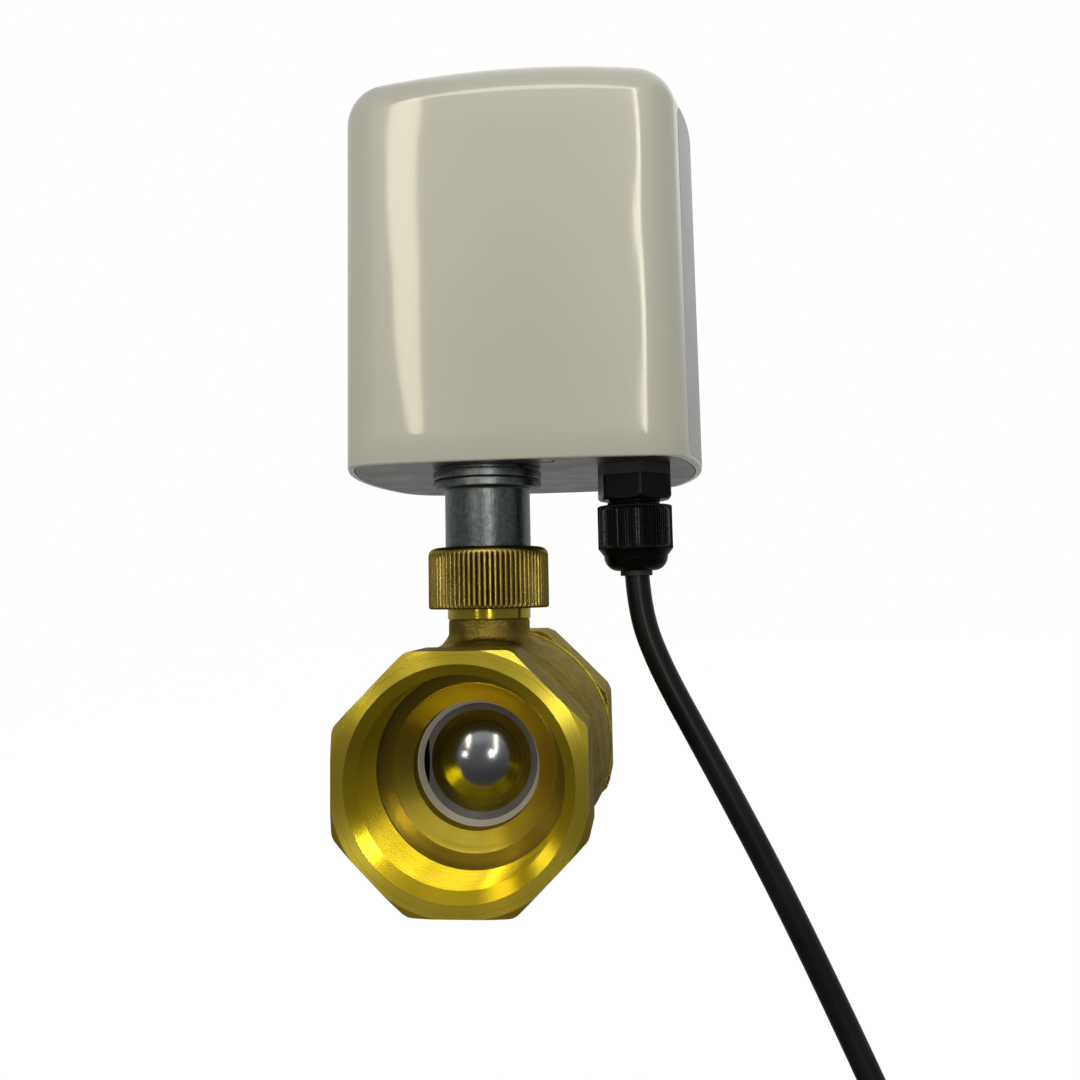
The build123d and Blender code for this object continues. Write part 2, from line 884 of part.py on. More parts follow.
def make_output_gear():
    shape = gear(output_teeth, slow_module, output_gear_low, output_gear_width, stem_axis, output_turn)
    top = output_gear_low + output_gear_width
    return shape - rod(gear_seat_radius + press_clearance, output_gear_low, top, stem_axis)


def make_slow_cluster():
    pinion_width = slow_wheel_low - output_gear_low
    shape = gear(slow_pinion_teeth, slow_module, output_gear_low, pinion_width, slow_axis, slow_turn)
    shape += gear(slow_wheel_teeth, fast_module, slow_wheel_low, slow_wheel_width, slow_axis, slow_turn)
    top = slow_wheel_low + slow_wheel_width
    return shape - rod(axle_radius + hub_clearance, output_gear_low, top, slow_axis)


def make_fast_cluster():
    pinion_width = fast_wheel_low - fast_cluster_low
    shape = gear(fast_pinion_teeth, fast_module, fast_cluster_low, pinion_width, fast_axis, fast_turn)
    shape += gear(fast_wheel_teeth, fast_module, fast_wheel_low, fast_wheel_width, fast_axis, fast_turn)
    top = fast_wheel_low + fast_wheel_width
    return shape - rod(axle_radius + hub_clearance, fast_cluster_low, top, fast_axis)


def make_motor_pinion():
    top = upper_frame_top + motor_shaft_end
    shape = gear(motor_teeth, fast_module, motor_pinion_low, motor_pinion_width, motor_axis, motor_turn)
    return shape + rod(motor_shaft_radius, motor_pinion_low, top, motor_axis)


def make_gear_axles():
    # Each axle is riveted in both frame plates and carries a collar under its cluster.
    axles = []
    for axis, cluster_low in ((slow_axis, output_gear_low), (fast_axis, fast_cluster_low)):
        axle = rod(axle_radius, lower_frame_low, upper_frame_top, axis)
        axle += rod(axle_radius + axle_collar, lower_frame_top, cluster_low - hub_clearance, axis)
        axles.append(axle)
    return Compound(children=axles)


def make_output_shaft():
    socket_half = stem_square / 2 + fit_clearance
    shape = rod(shaft_radius, shaft_low, shaft_step)
    shape += rod(gear_seat_radius, shaft_step, output_gear_low + output_gear_width)
    shape += rod(journal_radius, output_gear_low + output_gear_width, shaft_top)
    socket = block(
        (-socket_half, -socket_half, shaft_low),
        (socket_half, socket_half, shaft_low + shaft_socket_depth),
    )
    shape -= socket & rod(stem_radius + shaft_socket_relief, shaft_low, shaft_low + shaft_socket_depth)
    return Pos(0, stem_y, 0) * Rot(0, 0, 90.0 + ball_rest_angle) * shape


def make_cam(low, lobe_start):
    shape = rod(cam_radius, low, low + cam_thickness)
    lobe = rod(cam_lobe_radius, low, low + cam_thickness)
    reach = 2 * cam_lobe_radius
    start = math.radians(lobe_start)
    end = math.radians(lobe_start + lobe_angle)
    wedge = make_face(Polyline(
        (0, 0),
        (reach * math.cos(start), reach * math.sin(start)),
        (reach * math.cos(end), reach * math.sin(end)),
        close=True,
    ))
    shape += lobe & (Pos(0, 0, low) * extrude(wedge, cam_thickness))
    hub_low = upper_frame_top + cam_hub_gap if low < upper_cam_low else low - cam_hub_length
    shape += rod(journal_radius + cam_hub_wall, hub_low, low)
    shape -= rod(journal_radius + press_clearance, hub_low, low + cam_thickness)
    return Pos(0, stem_y, 0) * shape


def frame_outline():
    shape = housing_outline(frame_inset)
    notch = gland_nut_across_flats / 2 + gland_notch_clearance
    shape -= Pos(gland_x, gland_y) * Circle(notch)
    shape -= Pos(gland_x, gland_y - notch) * Rectangle(2 * notch, 2 * notch)
    for place in screw_places:
        shape -= Pos(*place) * Circle(screw_post_radius + screw_post_clearance)
    return shape


def make_frame_plate(low, shaft_hole_radius):
    shape = Pos(0, 0, low) * extrude(frame_outline(), frame_thickness)
    shape -= rod(shaft_hole_radius, low, low + frame_thickness, stem_axis)
    for axis in (slow_axis, fast_axis):
        shape -= rod(axle_radius + press_clearance, low, low + frame_thickness, axis)
    for place in pillar_places:
        shape -= rod(pillar_neck_radius + press_clearance, low, low + frame_thickness, place)
    return shape


def make_upper_plate():
    shape = make_frame_plate(upper_frame_low, journal_radius + fit_clearance)
    shape -= rod(motor_shaft_radius + motor_shaft_clearance, upper_frame_low, upper_frame_top, motor_axis)
    screw_hole = ear_screw_radius + press_clearance
    for angle in (ear_angle, ear_angle + 180.0):
        shape -= rod(screw_hole, upper_frame_low, upper_frame_top, point_from(motor_axis, angle, ear_reach))
    for place in post_places:
        shape -= rod(post_stud_radius + press_clearance, upper_frame_low, upper_frame_top, place)
    for place in switch_screw_places:
        shape -= rod(screw_hole, upper_frame_low, upper_frame_top, place)
    return shape


def make_spacers():
    spacers = []
    hole = pillar_neck_radius + press_clearance
    for place in pillar_places:
        spacers.append(tube(spacer_radius, hole, plate_top, lower_frame_low, place))
    return Compound(children=spacers)


def make_pillars():
    pillars = []
    for place in pillar_places:
        pillar = rod(pillar_radius, lower_frame_top, upper_frame_low, place)
        pillar += rod(pillar_neck_radius, plate_top, upper_frame_top + pillar_nut_height + pillar_end, place)
        pillars.append(pillar)
    return Compound(children=pillars)


def make_pillar_nuts():
    nuts = []
    top = upper_frame_top + pillar_nut_height
    for place in pillar_places:
        nut = prism(pillar_nut_across_flats, 6, upper_frame_top, top, place)
        nuts.append(nut - rod(pillar_neck_radius + press_clearance, upper_frame_top, top, place))
    return Compound(children=nuts)


# Motor
motor_low = upper_frame_top


def make_motor():
    shape = rod(motor_radius, motor_low, motor_low + motor_height, motor_axis)
    shape = fillet(shape.edges().sort_by(Axis.Z)[-1], motor_edge_radius)
    for angle in (ear_angle, ear_angle + 180.0):
        end = point_from(motor_axis, angle, ear_reach)
        ear = rod(ear_radius, motor_low, motor_low + ear_thickness, end)
        middle = point_from(motor_axis, angle, ear_reach - ear_radius)
        web = Pos(middle[0], middle[1], motor_low) * Rot(0, 0, angle) * Box(
            2 * ear_radius, 2 * ear_radius, ear_thickness, align=(Align.CENTER, Align.CENTER, Align.MIN))
        shape += ear + web
        shape -= rod(ear_screw_radius + press_clearance, motor_low, motor_low + ear_thickness, end)
    bore_radius = motor_shaft_radius + motor_bore_clearance
    return shape - rod(bore_radius, motor_low, motor_low + motor_bore_depth, motor_axis)


def make_motor_screws():
    screws = []
    for angle in (ear_angle, ear_angle + 180.0):
        end = point_from(motor_axis, angle, ear_reach)
        head_low = motor_low + ear_thickness
        screw = rod(ear_screw_radius * small_head_ratio, head_low, head_low + small_head_height, end)
        screw += rod(ear_screw_radius, upper_frame_low, head_low, end)
        screws.append(screw)
    return Compound(children=screws)


# Limit switches
switch_left = switch_right - switch_width
switch_front = switch_back - switch_length
lever_face = switch_right + lever_gap
lever_pivot_y = switch_back - lever_pivot_inset
switch_screw_places = (
    (switch_left + switch_screw_inset, switch_front + switch_screw_front),
    (switch_left + switch_screw_inset, switch_back - switch_screw_back),
)


def switch_low(level):
    return upper_frame_top + level * (switch_height + switch_gap)


def make_switch(level):
    low = switch_low(level)
    shape = block((switch_left, switch_front, low), (switch_right, switch_back, low + switch_height))
    shape = chamfer(shape.edges().filter_by(Axis.Z), switch_chamfer)
    for place in switch_screw_places:
        shape -= rod(ear_screw_radius + press_clearance, low, low + switch_height, place)
    middle = low + switch_height / 2
    plunger = Pos(switch_right, switch_front + plunger_offset, middle) * Rot(0, 90, 0) * Cylinder(
        plunger_radius, 2 * plunger_height)
    shape += plunger
    ear_reach_out = lever_gap + lever_thickness + switch_ear_overhang
    upper_ear_low = low + switch_height - switch_ear_inset - switch_ear_thickness
    for ear_low in (low + switch_ear_inset, upper_ear_low):
        ear = block(
            (switch_right - switch_ear_root, lever_pivot_y - switch_ear_front, ear_low),
            (switch_right + ear_reach_out, switch_back - switch_ear_back, ear_low + switch_ear_thickness),
        )
        shape += ear
    pin_top = low + switch_height - switch_ear_inset
    return shape + rod(lever_pin_radius, low + switch_ear_inset, pin_top, lever_pivot(level))


def lever_pivot(level):
    return (lever_face + lever_thickness / 2, lever_pivot_y)


def make_lever(level):
    middle = switch_low(level) + switch_height / 2
    low = middle - lever_height / 2
    high = middle + lever_height / 2
    pivot = lever_pivot(level)
    shape = block((lever_face, lever_front, low), (lever_face + lever_thickness, pivot[1], high))
    nose_x = lever_face + lever_thickness / 2
    shape += rod(lever_nose_radius, low, high, (nose_x, lever_front))
    shape += rod(lever_pin_radius + lever_eye_wall, low, high, pivot)
    shape -= rod(lever_pin_radius + fit_clearance, low, high, pivot)
    return shape


def make_switch_screws():
    screws = []
    top = switch_low(1) + switch_height
    for place in switch_screw_places:
        screw = rod(ear_screw_radius, upper_frame_low, top, place)
        screw += rod(ear_screw_radius * small_head_ratio, top, top + small_head_height, place)
        screws.append(screw)
    return Compound(children=screws)


# Circuit board
board_top = board_low + board_thickness


def make_board():
    shape = block((board_left, board_front, board_low), (board_right, board_back, board_top))
    shape = fillet(shape.edges().filter_by(Axis.Z), board_corner_radius)
    for place in screw_places:
        shape -= rod(screw_post_radius + screw_post_clearance, board_low, board_top, place)
    for place in post_places:
        shape -= rod(post_stud_radius + press_clearance, board_low, board_top, place)
    return shape


def make_board_posts():
    posts = []
    for place in post_places:
        post = rod(post_radius, upper_frame_top, board_low, place)
        post += rod(post_stud_radius, upper_frame_low, board_top + post_stud_end, place)
        posts.append(post)
    return Compound(children=posts)


def box_on_board(size, place):
    shape = Box(*size, align=(Align.CENTER, Align.CENTER, Align.MIN))
    return Pos(place[0], place[1], board_top) * shape


def make_capacitor():
    shape = box_on_board(capacitor_size, capacitor_place)
    return fillet(shape.edges().filter_by(Axis.Z), capacitor_edge_radius)


def make_terminal():
    shape = box_on_board(terminal_size, terminal_place)
    pitch = terminal_size[0] / terminal_ways
    for index in range(terminal_ways):
        x = terminal_place[0] - terminal_size[0] / 2 + pitch * (index + 0.5)
        top = board_top + terminal_size[2]
        shape -= rod(pitch * terminal_hole_share, top - terminal_hole_depth, top, (x, terminal_place[1]))
    return shape


# Cable gland
gasket_low = plate_low - gland_gasket_thickness
cap_bore_radius = gland_thread_radius + thread_clearance
seal_outer = cable_radius + seal_wall
seal_inner = cable_radius + cable_clearance


def make_gland_gasket():
    shape = prism(gland_across_flats - gasket_shrink, 6, gasket_low, plate_low, gland_axis, gland_turn)
    return shape - rod(gland_thread_radius + fit_clearance, gasket_low, plate_low, gland_axis)


def make_gland_body():
    shape = prism(gland_across_flats, 6, gland_hex_low, gasket_low, gland_axis, gland_turn)
    face_radius = gland_across_flats / 2 + gland_hex_face
    turned_radius = gland_across_flats / 2 + gland_hex_reach
    shape = shape & turned_up([
        (0, gland_hex_low),
        (face_radius, gland_hex_low),
        (turned_radius, gland_hex_low + gland_hex_rise),
        (turned_radius, gasket_low),
        (0, gasket_low),
    ], gland_axis)
    shank_low = gland_rib_low + gland_shank_rise
    shape += rod(gland_thread_radius, shank_low, gland_thread_top, gland_axis)
    return shape - rod(gland_bore_radius, shank_low, gland_thread_top, gland_axis)


def make_gland_nut():
    shape = prism(gland_nut_across_flats, 6, plate_top, plate_top + gland_nut_height, gland_axis)
    hole = gland_thread_radius + fit_clearance
    return shape - rod(hole, plate_top, plate_top + gland_nut_height, gland_axis)


def make_gland_cap():
    # Finely ribbed barrel, a short cone, then the dome that closes on the seal.
    barrel_height = gland_cap_top - gland_rib_low
    ribs = ribbed_outline(gland_cap_radius, gland_rib_depth, gland_rib_count, gland_rib_share)
    barrel = Pos(gland_x, gland_y, gland_rib_low) * extrude(ribs, barrel_height)
    dome_top = gland_rib_low - gland_cone_height
    dome = Polyline(
        (0, gland_rib_low),
        (gland_cap_radius - gland_rib_depth, gland_rib_low),
        (gland_dome_radius, dome_top),
    )
    dome_curve = ThreePointArc(
        (gland_dome_radius, dome_top),
        (gland_dome_radius - gland_dome_inset, dome_top - gland_dome_drop),
        (gland_mouth_radius, gland_cap_low),
    )
    dome_end = Polyline((gland_mouth_radius, gland_cap_low), (0, gland_cap_low), (0, gland_rib_low))
    face = Plane.XZ * make_face([*dome.edges(), *dome_curve.edges(), *dome_end.edges()])
    shape = barrel + Pos(gland_x, gland_y, 0) * revolve(face, axis=Axis.Z)
    step_height = gland_rib_low + gland_seal_step
    shape -= rod(cap_bore_radius, step_height, gland_cap_top, gland_axis)
    shape -= rod(seal_outer + seal_clearance, gland_cap_low, step_height, gland_axis)
    return shape


def make_gland_seal():
    shape = tube(seal_outer, seal_inner, gland_cap_low, gland_cap_low + seal_height, gland_axis)
    return shape + tube(seal_ring_radius, seal_inner, seal_ring_low, gland_cap_low, gland_axis)


# Cable
def make_cable_entry():
    return rod(cable_radius, cable_points[0][2], cable_inner_top, gland_axis)


def make_supply_leads():
    # Three cores from the end of the sheath, up in front of the board and into its terminals.
    leads = []
    pitch = terminal_size[0] / terminal_ways
    spread = (core_radius + core_gap) * 2 / math.sqrt(3)
    entry_y = terminal_place[1] - terminal_size[1] / 2 - lead_gap
    entry_z = board_top + lead_entry_height
    for index in range(core_count):
        turn = math.radians(90 + 360 / core_count * index)
        start = (gland_x + spread * math.cos(turn), gland_y + spread * math.sin(turn))
        end_x = terminal_place[0] - terminal_size[0] / 2 + pitch * (index + 0.5)
        path = FilletPolyline(
            (start[0], start[1], cable_inner_top),
            (start[0], start[1], cable_inner_top + lead_straight),
            (end_x, lead_rise_y, board_low - lead_bend_drop),
            (end_x, lead_rise_y, entry_z),
            (end_x, entry_y, entry_z),
            radius=lead_bend_radius,
        )
        leads.append(tube_along(path, core_radius))
    return Compound(children=leads)


def corner_radii(points):
    radii = []
    for before, corner, after in zip(points, points[1:], points[2:]):
        first = Vector(*corner) - Vector(*before)
        second = Vector(*after) - Vector(*corner)
        half_turn = math.radians(first.get_angle(second)) / 2
        radii.append(cable_corner_share * min(first.length, second.length) / math.tan(half_turn))
    return radii


def tube_along(path, radius):
    start = path.position_at(0)
    direction = path.tangent_at(0)
    return sweep(Plane(start, z_dir=direction) * Circle(radius), path=path)


def make_power_cable():
    radii = corner_radii(cable_points)
    print("cable corner radii", [round(radius, 1) for radius in radii])
    path = FilletPolyline(*cable_points, radius=radii)
    shape = tube_along(path, cable_radius)
    expected = math.pi * cable_radius ** 2 * path.length
    print("cable length", round(path.length, 1), "volume ratio", round(shape.volume / expected, 5))
    return shape, path.length


# The coil hangs below the cable: two layers side by side along Y.
# The front layer winds in, climbs across in one half turn, and the back layer winds out.
cable_end = Vector(*cable_points[-1])
entry_direction = (cable_end - Vector(*cable_points[-2])).normalized()
spiral_start = cable_end + entry_direction * coil_straight
coil_center_x = spiral_start.X + coil_outer_radius * entry_direction.Z
coil_center_z = spiral_start.Z - coil_outer_radius * entry_direction.X
start_angle = math.atan2(spiral_start.Z - coil_center_z, spiral_start.X - coil_center_x)
front_layer_y = cable_end.Y
back_layer_y = front_layer_y + coil_pitch


def coil_point(turns):
    # Position on the coil after a number of turns, counted from where the spiral starts.
    inward = coil_turns_per_layer
    if turns <= inward:
        radius = coil_outer_radius - coil_pitch * turns
        depth = front_layer_y
    elif turns <= inward + coil_climb_turns:
        share = (turns - inward) / coil_climb_turns
        dip = coil_climb_dip * math.sin(math.pi * share) ** 2
        radius = coil_outer_radius - coil_pitch * inward - dip
        depth = front_layer_y + coil_pitch * (1 - math.cos(math.pi * share)) / 2
    else:
        radius = coil_outer_radius - coil_pitch * (2 * inward + coil_climb_turns - turns)
        depth = back_layer_y
    angle = start_angle - 2 * math.pi * turns
    return Vector(coil_center_x + radius * math.cos(angle), depth, coil_center_z + radius * math.sin(angle))


def coil_tangent(turns):
    step = coil_tangent_step
    return (coil_point(turns + step) - coil_point(turns - step)).normalized()


def biarc(start, start_direction, end, end_direction):
    # Two arcs that leave along one direction and arrive along the other.
    chord = end - start
    both = start_direction + end_direction
    spread = 2 * (1 - start_direction.dot(end_direction))
    reach = (math.sqrt(chord.dot(both) ** 2 + spread * chord.dot(chord)) - chord.dot(both)) / spread
    joint = (start + start_direction * reach + end - end_direction * reach) * 0.5
    first = TangentArc(start, joint, tangent=start_direction)
    second = TangentArc(end, joint, tangent=end_direction * -1)
    return first.edge(), second.edge()


def coil_path():
    total_quarters = int((2 * coil_turns_per_layer + coil_climb_turns) * 4)
    knots = [coil_point(index / 4) for index in range(total_quarters + 1)]
    directions = [coil_tangent(max(index / 4, 2 * coil_tangent_step)) for index in range(total_quarters + 1)]
    directions[0] = entry_direction
    edges = [Line(cable_end, spiral_start).edge()]
    for index in range(total_quarters):
        edges.extend(biarc(knots[index], directions[index], knots[index + 1], directions[index + 1]))
    tail_end = knots[-1] + directions[-1] * (2 * cable_radius)
    edges.append(Line(knots[-1], tail_end).edge())
    return Wire(edges), tail_end, directions[-1]


def least_self_gap(path):
    # Points along the turns, compared with every point more than half a turn further on.
    count = 720
    points = [path.position_at(index / count) for index in range(count + 1)]
    skip = int(count * math.pi * coil_outer_radius / path.length)
    closest = min(
        (points[first] - points[second]).length
        for first in range(0, count, 3)
        for second in range(first + skip, count + 1)
    )
    return closest - 2 * cable_radius


def make_cable_coil():
    path, tail_end, tail_direction = coil_path()
    shape = tube_along(path, cable_radius)
    expected = math.pi * cable_radius ** 2 * path.length
    print("coil length", round(path.length, 1), "volume ratio", round(shape.volume / expected, 5))
    print("coil least gap to itself", round(least_self_gap(path), 3))
    return shape, path.length, tail_end, tail_direction


def make_coil_tie():
    # A strap round the four passes of the cable where all of them lie side by side.
    first_pass = (math.degrees(start_angle) - tie_angle) / 360 + 1
    passes = [coil_point(first_pass + index) for index in range(2 * coil_turns_per_layer)]
    reaches = [math.hypot(place.X - coil_center_x, place.Z - coil_center_z) for place in passes]
    half_radial = (max(reaches) - min(reaches)) / 2 + cable_radius + tie_clearance
    half_depth = coil_pitch / 2 + cable_radius + tie_clearance
    outer = Box(tie_width, 2 * (half_depth + tie_thickness), 2 * (half_radial + tie_thickness))
    outer = fillet(outer.edges().filter_by(Axis.X), tie_corner_radius)
    inner = Box(tie_width, 2 * half_depth, 2 * half_radial)
    inner = fillet(inner.edges().filter_by(Axis.X), tie_corner_radius - tie_thickness)
    middle = (max(reaches) + min(reaches)) / 2
    turn = math.radians(tie_angle)
    center = (
        coil_center_x + middle * math.cos(turn),
        (front_layer_y + back_layer_y) / 2,
        coil_center_z + middle * math.sin(turn),
    )
    return Pos(*center) * Rot(0, 90 - tie_angle, 0) * (outer - inner)


def make_cable_leads(start, direction):
    leads = []
    plane = Plane(start, z_dir=direction)
    for index in range(core_count):
        turn = math.radians(360 / core_count * index + 90)
        place = plane.from_local_coords((core_spacing * math.cos(turn), core_spacing * math.sin(turn), 0))
        own = Plane(place, z_dir=direction)
        core = own * Cylinder(core_radius, core_length, align=(Align.CENTER, Align.CENTER, Align.MIN))
        bare = own * Pos(0, 0, core_length) * Cylinder(
            core_bare_radius, core_bare_length, align=(Align.CENTER, Align.CENTER, Align.MIN))
        leads.append(core + bare)
    return Compound(children=leads)


save(make_valve_body(), "valve_body")
save(make_end_cap(), "end_cap")
save(make_ball(), "ball")
save(make_seat(seat_face_depth, 1), "seat_front")
save(make_seat(rear_seat_face, -1), "seat_rear")
save(make_stem(), "valve_stem")
save(make_stem_rings(), "stem_o_rings")
save(make_thrust_washer(), "stem_thrust_washer")
save(make_union_nut(), "union_nut")
save(make_retainer(), "nut_retaining_ring")
save(make_sleeve(), "adapter_sleeve")
save(make_base_bush(), "base_bush")
save(make_bush_nut(), "bush_locknut")
save(make_base_plate(), "base_plate")
save(make_cover(), "cover")
save(make_cover_gasket(), "cover_gasket")
save(make_cover_screws(), "cover_screws")
save(make_output_shaft(), "output_shaft")
save(make_output_gear(), "output_gear")
save(make_slow_cluster(), "slow_cluster_gear")
save(make_fast_cluster(), "fast_cluster_gear")
save(make_motor_pinion(), "motor_pinion")
save(make_gear_axles(), "gear_axles")
save(make_frame_plate(lower_frame_low, shaft_radius + fit_clearance), "lower_gear_plate")
save(make_upper_plate(), "upper_gear_plate")
save(make_spacers(), "lower_spacers")
save(make_pillars(), "gear_pillars")
save(make_pillar_nuts(), "pillar_nuts")
save(make_motor(), "motor_can")
save(make_motor_screws(), "motor_screws")
save(make_cam(lower_cam_low, lower_lobe_start), "lower_cam")
save(make_cam(upper_cam_low, upper_lobe_start), "upper_cam")
save(make_switch(0), "lower_limit_switch")
save(make_switch(1), "upper_limit_switch")
save(make_lever(0), "lower_switch_lever")
save(make_lever(1), "upper_switch_lever")
save(make_switch_screws(), "switch_screws")
save(make_board(), "circuit_board")
save(make_board_posts(), "board_posts")
save(make_capacitor(), "run_capacitor")
save(make_terminal(), "terminal_block")
save(make_gland_gasket(), "gland_gasket")
save(make_gland_body(), "gland_body")
save(make_gland_nut(), "gland_locknut")
save(make_gland_cap(), "gland_cap")
save(make_gland_seal(), "gland_seal")
save(make_cable_entry(), "cable_entry")
save(make_supply_leads(), "supply_leads")

cable_shape, cable_length = make_power_cable()
save(cable_shape, "power_cable")
coil_shape, coil_length, coil_tail, coil_tail_direction = make_cable_coil()
save(coil_shape, "cable_coil")
save(make_coil_tie(), "coil_tie")
save(make_cable_leads(coil_tail, coil_tail_direction), "cable_leads")
print("cable from gland to sheath end", round(cable_length + coil_length, 1))
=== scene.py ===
import math

import bmesh
import bpy
from mathutils import Matrix, Vector


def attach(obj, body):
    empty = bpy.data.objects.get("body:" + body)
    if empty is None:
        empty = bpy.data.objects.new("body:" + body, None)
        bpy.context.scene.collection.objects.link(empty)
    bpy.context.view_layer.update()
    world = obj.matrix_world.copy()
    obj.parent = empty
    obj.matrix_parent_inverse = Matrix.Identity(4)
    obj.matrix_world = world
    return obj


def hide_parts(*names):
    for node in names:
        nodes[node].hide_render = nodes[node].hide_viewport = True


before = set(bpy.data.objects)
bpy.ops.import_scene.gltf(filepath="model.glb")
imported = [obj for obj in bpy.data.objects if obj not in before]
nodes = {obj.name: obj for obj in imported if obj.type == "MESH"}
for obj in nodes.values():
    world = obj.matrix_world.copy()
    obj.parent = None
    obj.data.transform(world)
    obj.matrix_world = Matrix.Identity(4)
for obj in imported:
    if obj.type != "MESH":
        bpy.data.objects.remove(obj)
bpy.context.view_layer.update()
mm = 0.001
pipeAxis = ("Y", (0.0, 0.0, 0.0))  # a direction and a place in millimetres
stemAxis = ("Z", (0.0, 41.0, 0.0))
glandAxis = ("Z", (33.3, 41.0, 0.0))
print("frame loaded")


# Camera

viewSettings = {
    "place": (0.0355629, -0.1903772, 0.0339185), "yaw": 0.1012, "pitch": 0.1053, "roll": 0.0204,
    "lens": 34.333, "sensor": 36.0, "shiftUp": -0.0494, "nearest": 0.01,
}


def addObject(name, data):
    thing = bpy.data.objects.new(name, data)
    bpy.context.scene.collection.objects.link(thing)
    return thing


def makeCamera(s):
    level = Vector((-math.sin(s["yaw"]), math.cos(s["yaw"]), 0.0)) * math.cos(s["pitch"])
    forward = level + Vector((0.0, 0.0, math.sin(s["pitch"])))
    levelRight = Vector((math.cos(s["yaw"]), math.sin(s["yaw"]), 0.0))
    levelUp = levelRight.cross(forward)
    right = levelRight * math.cos(s["roll"]) - levelUp * math.sin(s["roll"])
    up = levelRight * math.sin(s["roll"]) + levelUp * math.cos(s["roll"])
    turn = Matrix((right, up, -forward)).transposed().to_4x4()
    data = bpy.data.cameras.new("photoCamera")
    data.sensor_width = s["sensor"]
    data.lens = s["lens"]
    data.shift_y = s["shiftUp"]
    data.clip_start = s["nearest"]
    camera = addObject("photoCamera", data)
    camera.matrix_world = Matrix.Translation(s["place"]) @ turn
    bpy.context.scene.camera = camera


makeCamera(viewSettings)
print("camera set")


# Materials

def newMaterial(name, values):
    # A material, its node tree, and its shader with the given input values.
    material = bpy.data.materials.new(name)
    material.use_nodes = True
    tree = material.node_tree
    shader = tree.nodes["Principled BSDF"]
    for key, value in values.items():
        shader.inputs[key].default_value = value
    return material, tree, shader


def addNode(tree, kind, inputs, **settings):
    # Each input is a plain value or the output of another node.
    node = tree.nodes.new("ShaderNode" + kind)
    for key, value in settings.items():
        setattr(node, key, value)
    for key, value in inputs.items():
        if isinstance(value, bpy.types.NodeSocket):
            tree.links.new(value, node.inputs[key])
        else:
            node.inputs[key].default_value = value
    return node


def compute(tree, operation, first, second):
    return addNode(tree, "Math", {0: first, 1: second}, operation=operation).outputs[0]


def vectorMath(tree, operation, inputs, result="Vector"):
    return addNode(tree, "VectorMath", inputs, operation=operation).outputs[result]


def feeding(socket):
    return socket.links[0].from_socket


def ramp(tree, value, look, start, end):
    # The dark tone up to the start, the bright tone from the end on.
    node = addNode(tree, "ValToRGB", {"Fac": value})
    dark, bright = node.color_ramp.elements
    dark.position, bright.position = start, end
    dark.color = (*look["dark"], 1)
    bright.color = (*look["bright"], 1)
    return node.outputs["Color"]


def spread(tree, value, low, high, start=0.0, end=1.0, blend="LINEAR"):
    # Start to end becomes low to high.
    inputs = {"Value": value, "From Min": start, "From Max": end, "To Min": low, "To Max": high}
    return addNode(tree, "MapRange", inputs, interpolation_type=blend).outputs["Result"]


def noise(tree, vector, scale, detail=3.0, rough=0.5):
    inputs = {"Vector": vector, "Scale": scale, "Detail": detail, "Roughness": rough}
    return addNode(tree, "TexNoise", inputs).outputs["Fac"]


def objectSpace(tree, stretch=(1, 1, 1), center=(0, 0, 0)):
    place = addNode(tree, "TexCoord", {}).outputs["Object"]
    offset = [-c * s for c, s in zip(center, stretch)]
    return addNode(tree, "Mapping", {"Vector": place, "Location": offset, "Scale": stretch}).outputs["Vector"]


def addBump(tree, shader, height, strength, distance):
    normal = shader.inputs["Normal"]
    bump = addNode(tree, "Bump", {"Strength": strength, "Distance": distance, "Height": height})
    if normal.is_linked:
        tree.links.new(feeding(normal), bump.inputs["Normal"])
    tree.links.new(bump.outputs["Normal"], normal)


def acrossAxis(tree, look):
    # The way from the axis line to the surface.
    direction, center = look["axis"]
    keep = [0.0 if name == direction else 1.0 for name in "XYZ"]
    return objectSpace(tree, keep, [c * mm for c in center])


def turningMarks(tree, look):
    # Noise in rings about the axis line, changing along it too.
    radius = vectorMath(tree, "LENGTH", {0: acrossAxis(tree, look)}, "Value")
    along = addNode(tree, "SeparateXYZ", {0: objectSpace(tree)}).outputs[look["axis"][0]]
    inputs = {"W": compute(tree, "ADD", radius, along), "Scale": look.get("ringScale", 2600), "Detail": 4.0}
    return addNode(tree, "TexNoise", inputs, noise_dimensions="1D").outputs["Fac"]


def stretchAcrossRings(tree, shader, look):
    # Reflections stretch across the rings left by the lathe.
    axis = [1.0 if name == look["axis"][0] else 0.0 for name in "XYZ"]
    around = vectorMath(tree, "CROSS_PRODUCT", {0: acrossAxis(tree, look), 1: axis})
    frames = {"vector_type": "VECTOR", "convert_from": "OBJECT", "convert_to": "WORLD"}
    turn = addNode(tree, "VectorTransform", {"Vector": around}, **frames)
    tree.links.new(turn.outputs["Vector"], shader.inputs["Tangent"])
    shader.inputs["Anisotropic"].default_value = look["anisotropy"]
    shader.inputs["Anisotropic Rotation"].default_value = 0.25


def leanNormal(tree, shader, lean):
    # Stands for fine thread flanks, which face along the lean.
    normal = shader.inputs["Normal"]
    leaning = vectorMath(tree, "ADD", {0: feeding(normal), 1: lean})
    tree.links.new(vectorMath(tree, "NORMALIZE", {0: leaning}), normal)


def paintGrooveShade(tree, shader, look):
    # Painted shade between ribs: darker from the crest radius to the floor radius.
    color = shader.inputs["Base Color"]
    radius = vectorMath(tree, "LENGTH", {0: acrossAxis(tree, look)}, "Value")
    share = spread(tree, radius, look["groove"], 1.0, look["grooveFloor"] * mm, look["grooveCrest"] * mm)
    tree.links.new(vectorMath(tree, "SCALE", {0: feeding(color), "Scale": share}), color)


